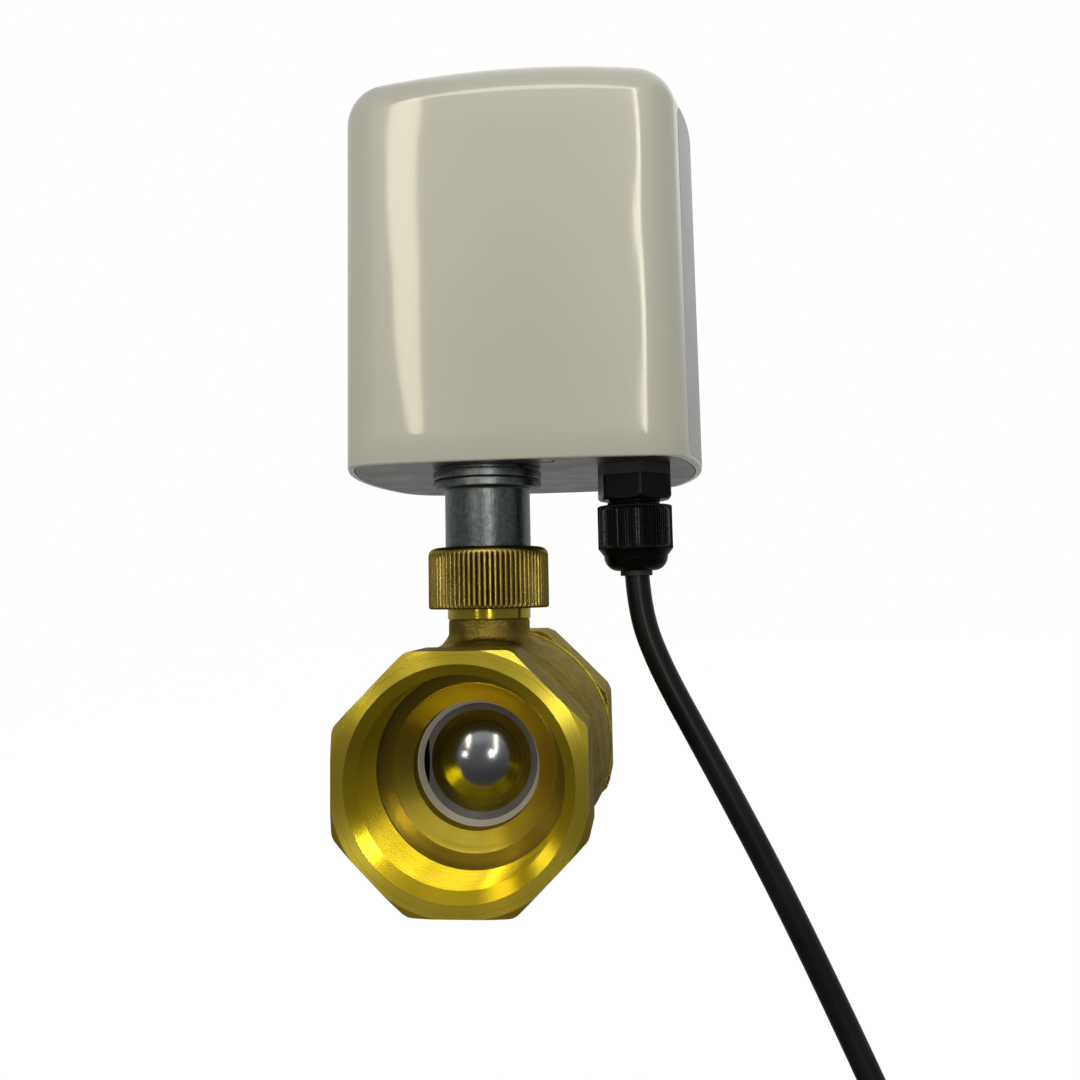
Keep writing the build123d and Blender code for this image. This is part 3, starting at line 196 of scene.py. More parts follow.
edgeHighlight = {
    "radius": 0.0004, "flattest": 0.998, "sharpest": 0.93, "gloss": 0.7,
    "patchScale": 700, "patchLow": -0.1, "patchHigh": 1.9,
}


def blendIn(tree, socket, mask, value, kind="FLOAT"):
    inputs = {"Factor": mask, "A": feeding(socket), "B": value}
    tree.links.new(addNode(tree, "Mix", inputs, data_type=kind).outputs["Result"], socket)


def paintEdgeHighlight(tree, shader, look, s):
    # Lighter, smoother metal in patches along sharp edges; the lighter colour is a painted edge highlight.
    bevel = addNode(tree, "Bevel", {"Radius": look.get("edgeRadius", s["radius"])}, samples=4)
    normal = addNode(tree, "NewGeometry", {}).outputs["Normal"]
    bend = vectorMath(tree, "DOT_PRODUCT", {0: bevel.outputs["Normal"], 1: normal}, "Value")
    bend = spread(tree, bend, 0.0, 1.0, s["flattest"], s["sharpest"])
    patch = spread(tree, noise(tree, objectSpace(tree), s["patchScale"]), s["patchLow"], s["patchHigh"])
    mask = addNode(tree, "Math", {0: bend, 1: patch}, operation="MULTIPLY", use_clamp=True).outputs[0]
    blendIn(tree, shader.inputs["Base Color"], mask, (*look["edge"], 1), "RGBA")
    blendIn(tree, shader.inputs["Roughness"], mask, look["roughness"] * s["gloss"])


def dress(tree, shader, look, cloud, tones, grain, swing, depth):
    # Colour follows the cloud; roughness and bump follow the grain.
    tree.links.new(ramp(tree, cloud, look, *tones), shader.inputs["Base Color"])
    low, high = (look["roughness"] * share for share in swing)
    tree.links.new(spread(tree, grain, low, high), shader.inputs["Roughness"])
    addBump(tree, shader, grain, look.get("bump", 0.1), look.get("depth", depth))


def newMetal(name, look):
    grazing = look.get("grazing", (1, 1, 1))
    return newMaterial(name, {"Metallic": 1.0, "Specular Tint": (*grazing, 1)})


def turnedMetal(name, dark, bright, roughness, **look):
    # Cut on a lathe: fine rings about the axis, small colour and gloss changes.
    look.update(dark=dark, bright=bright, roughness=roughness)
    material, tree, shader = newMetal(name, look)
    cloud = noise(tree, objectSpace(tree), 60)
    dress(tree, shader, look, cloud, (0.3, 0.75), turningMarks(tree, look), (0.7, 1.4), 0.00006)
    if "tilt" in look:
        leanNormal(tree, shader, look["tilt"])
    if "anisotropy" in look:
        stretchAcrossRings(tree, shader, look)
    if "edge" in look:
        paintEdgeHighlight(tree, shader, look, edgeHighlight)
    return material


def grainedMetal(name, dark, bright, roughness, **look):
    # Cast, forged or plated: speckle, soft lumps and worn tone.
    look.update(dark=dark, bright=bright, roughness=roughness)
    material, tree, shader = newMetal(name, look)
    grain = noise(tree, objectSpace(tree, look.get("stretch", (1, 1, 1))), look.get("grainScale", 1500), 5, 0.6)
    cloud = noise(tree, objectSpace(tree), look.get("cloudScale", 90), 4)
    dress(tree, shader, look, cloud, (0.32, 0.7), grain, (0.8, 1.25), 0.0002)
    if "groove" in look:
        paintGrooveShade(tree, shader, look)
    if "edge" in look:
        paintEdgeHighlight(tree, shader, look, edgeHighlight)
    return material


def mouldedPlastic(name, dark, bright, roughness, **look):
    look.update(dark=dark, bright=bright, roughness=roughness)
    material, tree, shader = newMaterial(name, {
        "Specular IOR Level": look.get("specular", 0.5), "Coat Weight": look.get("coat", 0.0),
        "Coat Roughness": look.get("coatRoughness", 0.05),
    })
    grain = noise(tree, objectSpace(tree), look.get("grainScale", 1800))
    cloud = noise(tree, objectSpace(tree), look.get("cloudScale", 70), 2)
    dress(tree, shader, look, cloud, (0.35, 0.7), grain, (0.85, 1.2), 0.00005)
    if "groove" in look:
        paintGrooveShade(tree, shader, look)
    if "wave" in look:
        addBump(tree, shader, noise(tree, objectSpace(tree), look["waveScale"], 1), 1.0, look["wave"])
        tree.links.new(feeding(shader.inputs["Normal"]), shader.inputs["Coat Normal"])
    return material


# Meshes, from sizes in millimetres

def clamp(value):
    return min(max(value, 0.0), 1.0)


def between(low, high, steps, first=0):
    # Even steps from low to high, from the given one on.
    return [low + (high - low) * step / steps for step in range(first, steps + 1)]


def newPiece(name, mesh, body, materials, nodeNames=(), sharp=35):
    for polygon in mesh.polygons:
        polygon.use_smooth = True
    mesh.set_sharp_from_angle(angle=math.radians(sharp))
    mesh.materials.clear()
    for material in materials:
        mesh.materials.append(material)
    mesh.name = name
    piece = addObject(name, mesh)
    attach(piece, body)
    if nodeNames:
        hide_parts(*nodeNames)


def finishMesh(work):
    bmesh.ops.recalc_face_normals(work, faces=work.faces)
    mesh = bpy.data.meshes.new("mesh")
    work.to_mesh(mesh)
    work.free()
    return mesh


def ringMesh(rings, closeLoop=False, capEnds=False):
    # Quads between neighbouring rings of points.
    work = bmesh.new()
    rows = [[work.verts.new(point) for point in ring] for ring in rings]
    pairs = list(zip(rows, rows[1:]))
    if closeLoop:
        pairs.append((rows[-1], rows[0]))
    count = len(rows[0])
    for low, high in pairs:
        for index in range(count):
            after = (index + 1) % count
            work.faces.new((low[index], low[after], high[after], high[index]))
    if capEnds:
        work.faces.new(list(reversed(rows[0])))
        work.faces.new(rows[-1])
    return finishMesh(work)


def rounded(profile, corners, steps=4):
    # Replaces the named corners of a profile by short arcs of the given size.
    points = []
    for index, place in enumerate(profile):
        if index not in corners:
            points.append(place)
            continue
        here = Vector(place)
        toBefore = (Vector(profile[index - 1]) - here).normalized()
        toAfter = (Vector(profile[(index + 1) % len(profile)]) - here).normalized()
        start = here + toBefore * corners[index]
        end = here + toAfter * corners[index]
        for t in between(0.0, 1.0, steps):
            points.append(tuple(start * (1 - t) ** 2 + here * 2 * t * (1 - t) + end * t ** 2))
    return points


def latheRings(profile, segments, axis=stemAxis, ripple=None):
    # A radius and a height for each ring; ripple may change the radius round it.
    direction, center = axis
    rings = []
    for radius, height in profile:
        ring = []
        for index in range(segments):
            angle = 2 * math.pi * index / segments
            r = ripple(radius, height, angle) if ripple else radius
            x = center[0] + r * math.cos(angle)
            if direction == "Z":
                ring.append(Vector((x, center[1] + r * math.sin(angle), height)) * mm)
            else:
                ring.append(Vector((x, height, center[2] + r * math.sin(angle))) * mm)
        rings.append(ring)
    return rings


def latheMesh(profile, segments, axis=stemAxis, ripple=None):
    # A turned ring: the profile runs once round its section.
    return ringMesh(latheRings(profile, segments, axis, ripple), closeLoop=True)


def solidMesh(profile, segments, axis=stemAxis, core=0.4):
    # A turned solid with flat ends, whose caps start at the core radius.
    first, last = (core, profile[0][1]), (core, profile[-1][1])
    return ringMesh(latheRings([first, *profile, last], segments, axis), capEnds=True)


def bake(thing):
    graph = bpy.context.evaluated_depsgraph_get()
    mesh = bpy.data.meshes.new_from_object(thing.evaluated_get(graph))
    thing.modifiers.clear()
    thing.data = mesh


def carve(thing, cutterMesh, operation="DIFFERENCE"):
    cutter = addObject("cutter", cutterMesh)
    modifier = thing.modifiers.new("carve", "BOOLEAN")
    modifier.operation = operation
    modifier.solver = "EXACT"
    modifier.object = cutter
    bake(thing)
    bpy.data.objects.remove(cutter)


def takeMesh(thing):
    mesh = thing.data
    bpy.data.objects.remove(thing)
    return mesh


# Supply cable, with the coil of its unseen length

cable = {
    "route": [(33.3, 41.0, 43.3), (33.3, 41.0, 33.5), (36.4, 41.0, 20.6), (48.4, 41.0, -2.6),
              (61.7, 41.0, -29.0), (75.3, 41.0, -59.5), (83.3, 37.95, -78.5), (88.8, 37.95, -92.5)],
    "diameter": 5.5,
    "straight": 6.0, "coilRadius": 35.0, "coilPitch": 6.1, "turnsIn": 2, "climb": 0.5, "dip": 1.6,
    "pointsPerTurn": 20, "length": 0.955,
}


def coilPoints(s):
    # Control points: inward turns, half a turn that climbs to the second layer, outward turns.
    last = Vector(s["route"][-1])
    direction = (last - Vector(s["route"][-2])).normalized()
    start = last + direction * s["straight"]
    centerX = start.x + s["coilRadius"] * direction.z
    centerZ = start.z - s["coilRadius"] * direction.x
    startAngle = math.atan2(start.z - centerZ, start.x - centerX)
    steps = int((2 * s["turnsIn"] + s["climb"]) * s["pointsPerTurn"])
    grow = 1 + (1 / math.cos(math.pi / s["pointsPerTurn"]) - 1) * 0.5  # the curve runs inside its points
    points = []
    for step in range(steps + 1):
        turns = step / s["pointsPerTurn"]
        if turns <= s["turnsIn"]:
            radius = s["coilRadius"] - s["coilPitch"] * turns
            depth = last.y
        elif turns <= s["turnsIn"] + s["climb"]:
            share = (turns - s["turnsIn"]) / s["climb"]
            dip = s["dip"] * math.sin(math.pi * share) ** 2
            radius = s["coilRadius"] - s["coilPitch"] * s["turnsIn"] - dip
            depth = last.y + s["coilPitch"] * (1 - math.cos(math.pi * share)) / 2
        else:
            radius = s["coilRadius"] - s["coilPitch"] * (2 * s["turnsIn"] + s["climb"] - turns)
            depth = last.y + s["coilPitch"]
        angle = startAngle - 2 * math.pi * turns
        radius *= grow
        points.append((centerX + radius * math.cos(angle), depth, centerZ + radius * math.sin(angle)))
    end = Vector(points[-1])
    before = Vector(points[-2])
    points.append(tuple(end + (end - before).normalized() * s["diameter"]))
    return points


def makeCable(s, material):
    curve = bpy.data.curves.new("supplyCable", "CURVE")
    curve.dimensions = "3D"
    curve.bevel_depth = s["diameter"] / 2 * mm
    curve.bevel_resolution = 8
    curve.resolution_u = 10
    curve.use_fill_caps = True
    spline = curve.splines.new("NURBS")
    points = s["route"] + coilPoints(s)
    spline.points.add(len(points) - 1)
    for point, place in zip(spline.points, points):
        point.co = (*(c * mm for c in place), 1.0)
    spline.order_u = 3
    spline.use_endpoint_u = True
    curve.materials.append(material)
    piece = addObject("supplyCable", curve)
    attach(piece, "valve")
    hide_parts("power_cable", "cable_coil")


cableBlack = mouldedPlastic(
    "cableSheath", (0.003, 0.0036, 0.004), (0.005, 0.006, 0.0065), 0.33, grainScale=900, bump=0.15,
    depth=0.00008, specular=0.24,
)
makeCable(cable, cableBlack)
print("cable laid")


# Finishes

# The edge colour is a painted highlight along sharp edges.
brightBrass = turnedMetal(
    "turnedBrass", (0.68, 0.53, 0.045), (0.8, 0.64, 0.07), 0.27, axis=pipeAxis, grazing=(1.0, 0.85, 0.4),
    bump=0.35, depth=0.00003, anisotropy=0.93, edge=(0.86, 0.74, 0.24), edgeRadius=0.0002,
)
flankBrass = turnedMetal(
    "threadBrass", (0.5, 0.375, 0.012), (0.59, 0.435, 0.019), 0.24, axis=pipeAxis, grazing=(1.0, 0.8, 0.2),
    ringScale=1700, bump=0.5, depth=0.00005, anisotropy=0.95, tilt=(0.0, -2.0, 0.0),
)
coneBrass = turnedMetal(
    "coneBrass", (0.27, 0.21, 0.022), (0.35, 0.275, 0.034), 0.3, axis=pipeAxis, grazing=(0.8, 0.66, 0.26),
    bump=0.4, depth=0.00004, anisotropy=0.93,
)
stemBrass = turnedMetal(
    "collarBrass", (0.52, 0.405, 0.04), (0.6, 0.475, 0.06), 0.22, axis=stemAxis, bump=0.25, anisotropy=0.8,
)
# The edge colour is a painted highlight along sharp edges.
forgedBrass = grainedMetal(
    "forgedBrass", (0.15, 0.112, 0.018), (0.3, 0.235, 0.045), 0.42, grainScale=1300, bump=0.85,
    depth=0.0004, cloudScale=300, grazing=(0.84, 0.76, 0.52), edge=(0.7, 0.56, 0.12),
)
# Brighter brass for the seam bead behind the belly: a painted highlight.
seamHighlightBrass = grainedMetal(
    "seamHighlightBrass", (0.36, 0.28, 0.05), (0.86, 0.68, 0.12), 0.34, bump=0.6, depth=0.0003,
    grazing=(1.0, 0.82, 0.35), cloudScale=520,
)
# Darker grooves between the nut's ribs are painted shade.
nutBrass = grainedMetal(
    "nutBrass", (0.28, 0.21, 0.05), (0.44, 0.34, 0.088), 0.28, axis=stemAxis, bump=0.25, depth=0.00005,
    stretch=(1, 1, 0.3), grazing=(0.8, 0.68, 0.4), groove=0.22, grooveFloor=13.05, grooveCrest=13.5,
)
mirrorChrome = grainedMetal(
    "ballChrome", (0.22, 0.235, 0.245), (0.36, 0.375, 0.385), 0.14, grainScale=700, bump=0.35,
    depth=0.00003, stretch=(0.12, 0.12, 1),
)
# White PTFE dimmed to grey: painted shade for the seat deep in the bore.
shadedSeatWhite = mouldedPlastic("shadedSeatWhite", (0.46, 0.44, 0.4), (0.56, 0.53, 0.49), 0.5, bump=0.05)
# The edge colour is a painted highlight along sharp edges.
castZinc = grainedMetal(
    "castZinc", (0.13, 0.15, 0.153), (0.21, 0.233, 0.236), 0.29, grainScale=1700, bump=0.55,
    stretch=(1, 1, 0.25), depth=0.00015, cloudScale=900, edge=(0.42, 0.44, 0.43),
)
brushedPlate = grainedMetal(
    "brushedPlate", (0.34, 0.345, 0.33), (0.6, 0.6, 0.575), 0.36, grainScale=1600, bump=0.6,
    stretch=(0.04, 1, 1), depth=0.0001,
)
coverPaint = mouldedPlastic(
    "coverPaint", (0.425, 0.428, 0.364), (0.455, 0.458, 0.392), 0.32, grainScale=420, bump=0.05,
    depth=0.00006, coat=0.8, coatRoughness=0.07, cloudScale=16, wave=0.0009, waveScale=20,
)
labelGrey = mouldedPlastic(
    "labelGrey", (0.4, 0.41, 0.405), (0.435, 0.445, 0.44), 0.42, grainScale=1600, bump=0.06,
)
zincPlated = grainedMetal("zincPlated", (0.52, 0.53, 0.52), (0.64, 0.64, 0.62), 0.3, grainScale=1300, bump=0.15)
turnedSteel = turnedMetal(
    "turnedSteel", (0.48, 0.48, 0.48), (0.58, 0.58, 0.57), 0.25, axis=stemAxis, ringScale=2200, bump=0.25,
)
gearSteel = grainedMetal("gearSteel", (0.34, 0.34, 0.35), (0.45, 0.45, 0.46), 0.36, bump=0.2)
gearNylon = mouldedPlastic("gearNylon", (0.66, 0.65, 0.6), (0.74, 0.73, 0.68), 0.42, bump=0.08)
motorPaint = mouldedPlastic("motorPaint", (0.1, 0.105, 0.115), (0.14, 0.145, 0.155), 0.34, coat=0.2)
blackMould = mouldedPlastic(
    "blackMould", (0.002, 0.0028, 0.003), (0.004, 0.0052, 0.0055), 0.24, bump=0.16, grainScale=1200,
    specular=0.12,
)
# Darker grooves between the gland cap's ribs are painted shade.
ribbedMould = mouldedPlastic(
    "ribbedMould", (0.008, 0.0115, 0.0115), (0.012, 0.0165, 0.0165), 0.24, grainScale=1200, specular=0.16,
    axis=glandAxis, groove=0.05, grooveFloor=8.22, grooveCrest=8.34,
)
sealRubber = mouldedPlastic("sealRubber", (0.009, 0.009, 0.009), (0.016, 0.016, 0.016), 0.55, bump=0.25)
boardLacquer = mouldedPlastic("boardLacquer", (0.014, 0.075, 0.03), (0.022, 0.1, 0.042), 0.22, cloudScale=400)
filmYellow = mouldedPlastic("filmYellow", (0.5, 0.32, 0.035), (0.58, 0.38, 0.05), 0.28, bump=0.05, coat=0.3)
terminalGreen = mouldedPlastic("terminalGreen", (0.03, 0.15, 0.055), (0.04, 0.19, 0.07), 0.38)
coreBrown = mouldedPlastic("coreBrown", (0.1, 0.045, 0.022), (0.14, 0.06, 0.03), 0.36, bump=0.08)

nodeFinishes = [
    (shadedSeatWhite, "seat_rear stem_thrust_washer"),
    (turnedSteel, "valve_stem output_shaft gear_axles"),
    (sealRubber, "stem_o_rings cover_gasket gland_gasket gland_seal"),
    (zincPlated, "nut_retaining_ring bush_locknut cover_screws motor_screws switch_screws board_posts"),
    (zincPlated, "lower_gear_plate upper_gear_plate lower_spacers gear_pillars pillar_nuts"),
    (zincPlated, "lower_switch_lever upper_switch_lever"),
    (brushedPlate, "base_plate"),
    (gearSteel, "output_gear slow_cluster_gear motor_pinion"),
    (gearNylon, "fast_cluster_gear lower_cam upper_cam"),
    (motorPaint, "motor_can"),
    (blackMould, "lower_limit_switch upper_limit_switch gland_locknut coil_tie"),
    (boardLacquer, "circuit_board"),
    (filmYellow, "run_capacitor"),
    (terminalGreen, "terminal_block"),
    (cableBlack, "cable_entry"),
    (coreBrown, "supply_leads cable_leads"),
]


def paintNodes(finishes):
    for material, names in finishes:
        for name in names.split():
            mesh = nodes[name].data
            mesh.materials.clear()
            mesh.materials.append(material)


paintNodes(nodeFinishes)
print("finishes on the drive and valve pieces")


# Drive cover

cover = {
    "left": -34.3, "right": 49.5, "front": 23.0, "back": 99.5,
    "frontBulge": 2.4, "sideBulge": 6.5, "crown": 2.3,
    "frontCorner": 9.4, "backCorner": 14.0, "topEdge": 8.6,
    "low": 62.7, "top": 152.5, "wall": 1.4,
    "rimBreak": 0.35, "rimInset": 0.1, "underArc": 3.0,
    "ledge": 0.8, "ledgeHeight": 4.2, "roof": 6.0,
    "flatSteps": 28, "cornerSteps": 14, "wallSteps": 12, "edgeSteps": 14, "lidSteps": 13,
}


def coverSpan(s):
    # The middle, half the width and half the depth.
    middle = Vector(((s["left"] + s["right"]) / 2, (s["front"] + s["back"]) / 2))
    return middle, (s["right"] - s["left"]) / 2, (s["back"] - s["front"]) / 2


def bulgeRadius(halfChord, rise):
    return (halfChord ** 2 + rise ** 2) / (2 * rise)


def circleCrossing(first, firstRadius, second, secondRadius):
    gap = (second - first).length
    along = (firstRadius ** 2 - secondRadius ** 2 + gap ** 2) / (2 * gap)
    away = math.sqrt(max(firstRadius ** 2 - along ** 2, 0.0))
    unit = (second - first) / gap
    return first + unit * along + Vector((-unit.y, unit.x)) * away


def arcPoints(center, radius, start, end, steps):
    # From the start angle up to just before the end angle.
    angles = between(start, end, steps)[:-1]
    return [center + Vector((math.cos(angle), math.sin(angle))) * radius for angle in angles]


def angleOf(place, center):
    return math.atan2(place.y - center.y, place.x - center.x)


def coverOutline(s, inset):
    # Four shallow arcs and four round corners, at the given inset.
    middle, halfWidth, halfDepth = coverSpan(s)
    frontRadius = bulgeRadius(halfWidth - s["sideBulge"], s["frontBulge"])
    sideRadius = bulgeRadius(halfDepth - s["frontBulge"], s["sideBulge"])
    frontCenter = Vector((0, -halfDepth + frontRadius))
    sideCenter = Vector((halfWidth - sideRadius, 0))

    def quarter(corner):
        # From the middle of the front to the middle of the right side.
        center = circleCrossing(frontCenter, frontRadius - corner, sideCenter, sideRadius - corner)
        onFront = center + (center - frontCenter).normalized() * corner
        onSide = center + (center - sideCenter).normalized() * corner
        frontEnd = angleOf(onFront, frontCenter)
        sideStart = angleOf(onSide, sideCenter)
        first, last = angleOf(onFront, center), angleOf(onSide, center)
        points = arcPoints(frontCenter, frontRadius - inset, -math.pi / 2, frontEnd, s["flatSteps"])
        points += arcPoints(center, corner - inset, first, last, s["cornerSteps"])
        points += arcPoints(sideCenter, sideRadius - inset, sideStart, 0.0, s["flatSteps"])
        return points + [sideCenter + Vector((sideRadius - inset, 0.0))]

    frontRight = quarter(s["frontCorner"])
    backRight = [Vector((p.x, -p.y)) for p in reversed(quarter(s["backCorner"]))]
    right = frontRight + backRight[1:]
    left = [Vector((-p.x, p.y)) for p in reversed(right)]
    return [p + middle for p in right + left[1:-1]]


def crownDrop(s, x):
    middle, halfWidth, _ = coverSpan(s)
    radius = bulgeRadius(halfWidth, s["crown"])
    return radius - math.sqrt(radius ** 2 - (x - middle.x) ** 2)


def makeCover(s):
    middle = coverSpan(s)[0]

    def ring(inset, height, followCrown=False):
        points = []
        for p in coverOutline(s, inset):
            drop = crownDrop(s, p.x) if followCrown else 0.0
            points.append(Vector((p.x, p.y, height - drop)) * mm)
        return points

    low, edge = s["low"], s["topEdge"]
    wallLow = low + s["rimBreak"]
    wallTop = s["top"] - edge
    rings = [ring(s["wall"], low), ring(s["rimBreak"], low), ring(s["rimInset"], low + s["rimInset"])]
    rings += [ring(0.0, height) for height in between(wallLow, wallTop - s["underArc"], s["wallSteps"])[:-1]]
    for turn in between(0.0, math.pi / 2, s["edgeSteps"]):
        rings.append(ring(edge * (1 - math.cos(turn)), wallTop + edge * math.sin(turn), True))
    outer = ring(edge, s["top"], True)
    for share in between(1.0, 0.0, s["lidSteps"], 1)[:-1]:
        flat = []
        for p in outer:
            x = middle.x + (p.x / mm - middle.x) * share
            y = middle.y + (p.y / mm - middle.y) * share
            flat.append(Vector((x, y, s["top"] - crownDrop(s, x))) * mm)
        rings.append(flat)
    rings.reverse()
    inner = s["wall"] + s["ledge"]
    ledgeHeight = low + s["ledgeHeight"]
    rings += [ring(s["wall"], ledgeHeight), ring(inner, ledgeHeight), ring(inner, s["top"] - s["roof"])]
    mesh = ringMesh(rings, capEnds=True)
    newPiece("driveCover", mesh, "valve", [coverPaint], ["cover"], sharp=50)


makeCover(cover)


sidePlate = {
    "front": 33.5, "back": 89.0, "low": 64.0, "high": 143.2, "proud": 0.1, "sunk": -0.05, "corner": 2.0,
    "columns": 40, "rows": 24,
}


def makeSidePlate(s, c):
    # A plain stuck-on plate that follows the curve of the right side.
    middle, _, halfDepth = coverSpan(c)
    radius = bulgeRadius(halfDepth - c["frontBulge"], c["sideBulge"])
    centerX = c["right"] - radius
    width = s["back"] - s["front"]
    columns, rows = s["columns"], s["rows"]
    work = bmesh.new()
    layers = []
    for proud in (s["proud"], s["sunk"]):
        grid = []
        for i in range(columns + 1):
            y = s["front"] + width * i / columns
            intoCorner = max(s["corner"] - min(i, columns - i) / columns * width, 0.0)
            shrink = s["corner"] - math.sqrt(s["corner"] ** 2 - intoCorner ** 2)
            x = centerX + math.sqrt((radius + proud) ** 2 - (y - middle.y) ** 2)
            column = []
            for j in range(rows + 1):
                z = s["low"] + shrink + (s["high"] - s["low"] - 2 * shrink) * j / rows
                column.append(work.verts.new(Vector((x, y, z)) * mm))
            grid.append(column)
        layers.append(grid)
    for grid in layers:
        for i in range(columns):
            for j in range(rows):
                work.faces.new((grid[i][j], grid[i + 1][j], grid[i + 1][j + 1], grid[i][j + 1]))
    top, under = layers
    edge = [(i, 0) for i in range(columns)] + [(columns, j) for j in range(rows)]
    edge += [(i, rows) for i in range(columns, 0, -1)] + [(0, j) for j in range(rows, 0, -1)]
    for (i, j), (k, l) in zip(edge, edge[1:] + edge[:1]):
        work.faces.new((top[i][j], top[k][l], under[k][l], under[i][j]))
    newPiece("blankSidePlate", finishMesh(work), "valve", [labelGrey], sharp=40)


makeSidePlate(sidePlate, cover)
print("cover made")


# Valve body

port = {
    "acrossFlats": 48.0, "length": 17.0, "chamferRadius": 24.4, "chamferAngle": 30.0,
    "ahead": 1.0, "mouth": 21.6, "threadWall": 19.5, "threadLength": 14.0, "threadEnd": 16.0, "wallRings": 8,
    "runout": 20.9, "runoutSlope": 0.6, "runoutWidth": 2.0, "shoulder": [(16.75, 0.0), (16.55, 0.12)],
    "lip": 12.9, "lipDepth": 20.4, "seatFace": 25.2,
    "turned": 21.95, "chamferStart": 22.0, "margin": 0.1, "chamferMargin": 0.25,
}


def boreRings(s, faceY, direction):
    # From before the mouth to the seat: countersink, wall, run-out groove, cone and lip.
    countersink = s["mouth"] - s["threadWall"]
    end = countersink + s["threadLength"]
    ahead = s["ahead"]
    profile = [(0.4, -ahead), (s["mouth"] + ahead, -ahead), (s["mouth"], 0.0)]
    profile += [(s["threadWall"], depth) for depth in between(countersink, end, s["wallRings"])]
    runoutEnd = end + s["runoutWidth"]
    profile += [(s["runout"], end + s["runoutSlope"]), (s["runout"], runoutEnd)]
    profile += [(radius, runoutEnd + deeper) for radius, deeper in s["shoulder"]]
    profile += [(s["lip"], s["lipDepth"]), (s["lip"], s["seatFace"])]
    return latheRings([(radius, faceY + direction * depth) for radius, depth in profile], 180, pipeAxis)


def chamferDepth(s, radius):
    return (radius - s["chamferRadius"]) * math.tan(math.radians(s["chamferAngle"]))


def portMetal(s, radius, depth):
    # The brass that shows at this radius and depth: cone and lip, turned faces or the forged outside.
    if radius < s["runout"] + s["margin"] and depth > s["threadEnd"]:
        return coneBrass
    onChamfer = radius > s["chamferStart"] and depth < chamferDepth(s, radius) + s["chamferMargin"]
    if radius < s["turned"] or depth < s["margin"] or onChamfer:
        return brightBrass
    return forgedBrass


def octagonMesh(acrossFlats, low, high, cornerRound=0.6):
    rings = []
    for y in (low, high):
        ring = []
        for corner in range(8):
            angle = math.radians(22.5 + 45 * corner)
            reach = acrossFlats / 2 / math.cos(math.pi / 8)
            place = Vector((reach * math.cos(angle), reach * math.sin(angle)))
            inward = -place.normalized() * math.sin(math.pi / 8)
            for side in (-1, 1):
                along = Vector((-math.sin(angle), math.cos(angle))) * side * math.cos(math.pi / 8)
                tilt = (along + inward) * cornerRound
                ring.append(Vector((place.x + tilt.x, y, place.y + tilt.y)) * mm)
        rings.append(ring)
    return ringMesh(rings, capEnds=True)


forging = {"voxel": 0.45, "smoothing": 4, "sinks": 0.8, "weld": 0.004}


def soften(thing, s):
    # No crisp edge on a forged surface.
    remesh = thing.modifiers.new("remesh", "REMESH")
    remesh.mode = "VOXEL"
    remesh.voxel_size = s["voxel"] * mm
    smooth = thing.modifiers.new("smooth", "SMOOTH")
    smooth.factor = 0.5
    smooth.iterations = s["smoothing"]
    bake(thing)


def cleanMesh(thing, s):
    mesh = takeMesh(thing)
    work = bmesh.new()
    work.from_mesh(mesh)
    bmesh.ops.remove_doubles(work, verts=work.verts, dist=s["weld"] * mm)
    bmesh.ops.dissolve_degenerate(work, edges=work.edges, dist=s["weld"] * mm)
    work.to_mesh(mesh)
    work.free()
    return mesh


def layMetals(mesh, metals, metalAt):
    for polygon in mesh.polygons:
        c = polygon.center / mm
        polygon.material_index = metals.index(metalAt(math.hypot(c.x, c.z), c.y))


body = {
    "split": 58.0, "waist": 22.6, "waistInset": 0.4, "waistStart": 15.0, "waistEnd": 18.5,
    "belly": 26.0, "bellyFull": 50.0, "bellySteps": 14, "bellyEnd": 25.2,
    "bead": 0.5, "beadSteps": (2.3, 1.8, 0.7), "seam": 24.2, "seamWidth": 2.0,
    "highlightStart": 2.2, "highlightEnd": 0.1, "highlightReach": 0.6,
    "neck": [(11.1, 4.0), (11.1, 22.8), (9.77, 24.5), (9.1, 25.4), (9.1, 29.0)],
    "tower": [(16.0, 20.0), (16.0, 45.0)], "envelopeReach": 10.0,
    "cavity": [(12.9, 24.7), (12.9, 25.2), (15.55, 25.2), (15.55, 29.6), (19.9, 29.6), (19.9, 52.3),
               (20.35, 52.3), (20.35, 59.0)],
    "stemHole": [(6.55, 5.0), (6.55, 22.0), (4.55, 22.0), (4.55, 41.0)],
    "flankIn": 0.1, "flankOut": 0.05, "flankStart": 0.02,
}


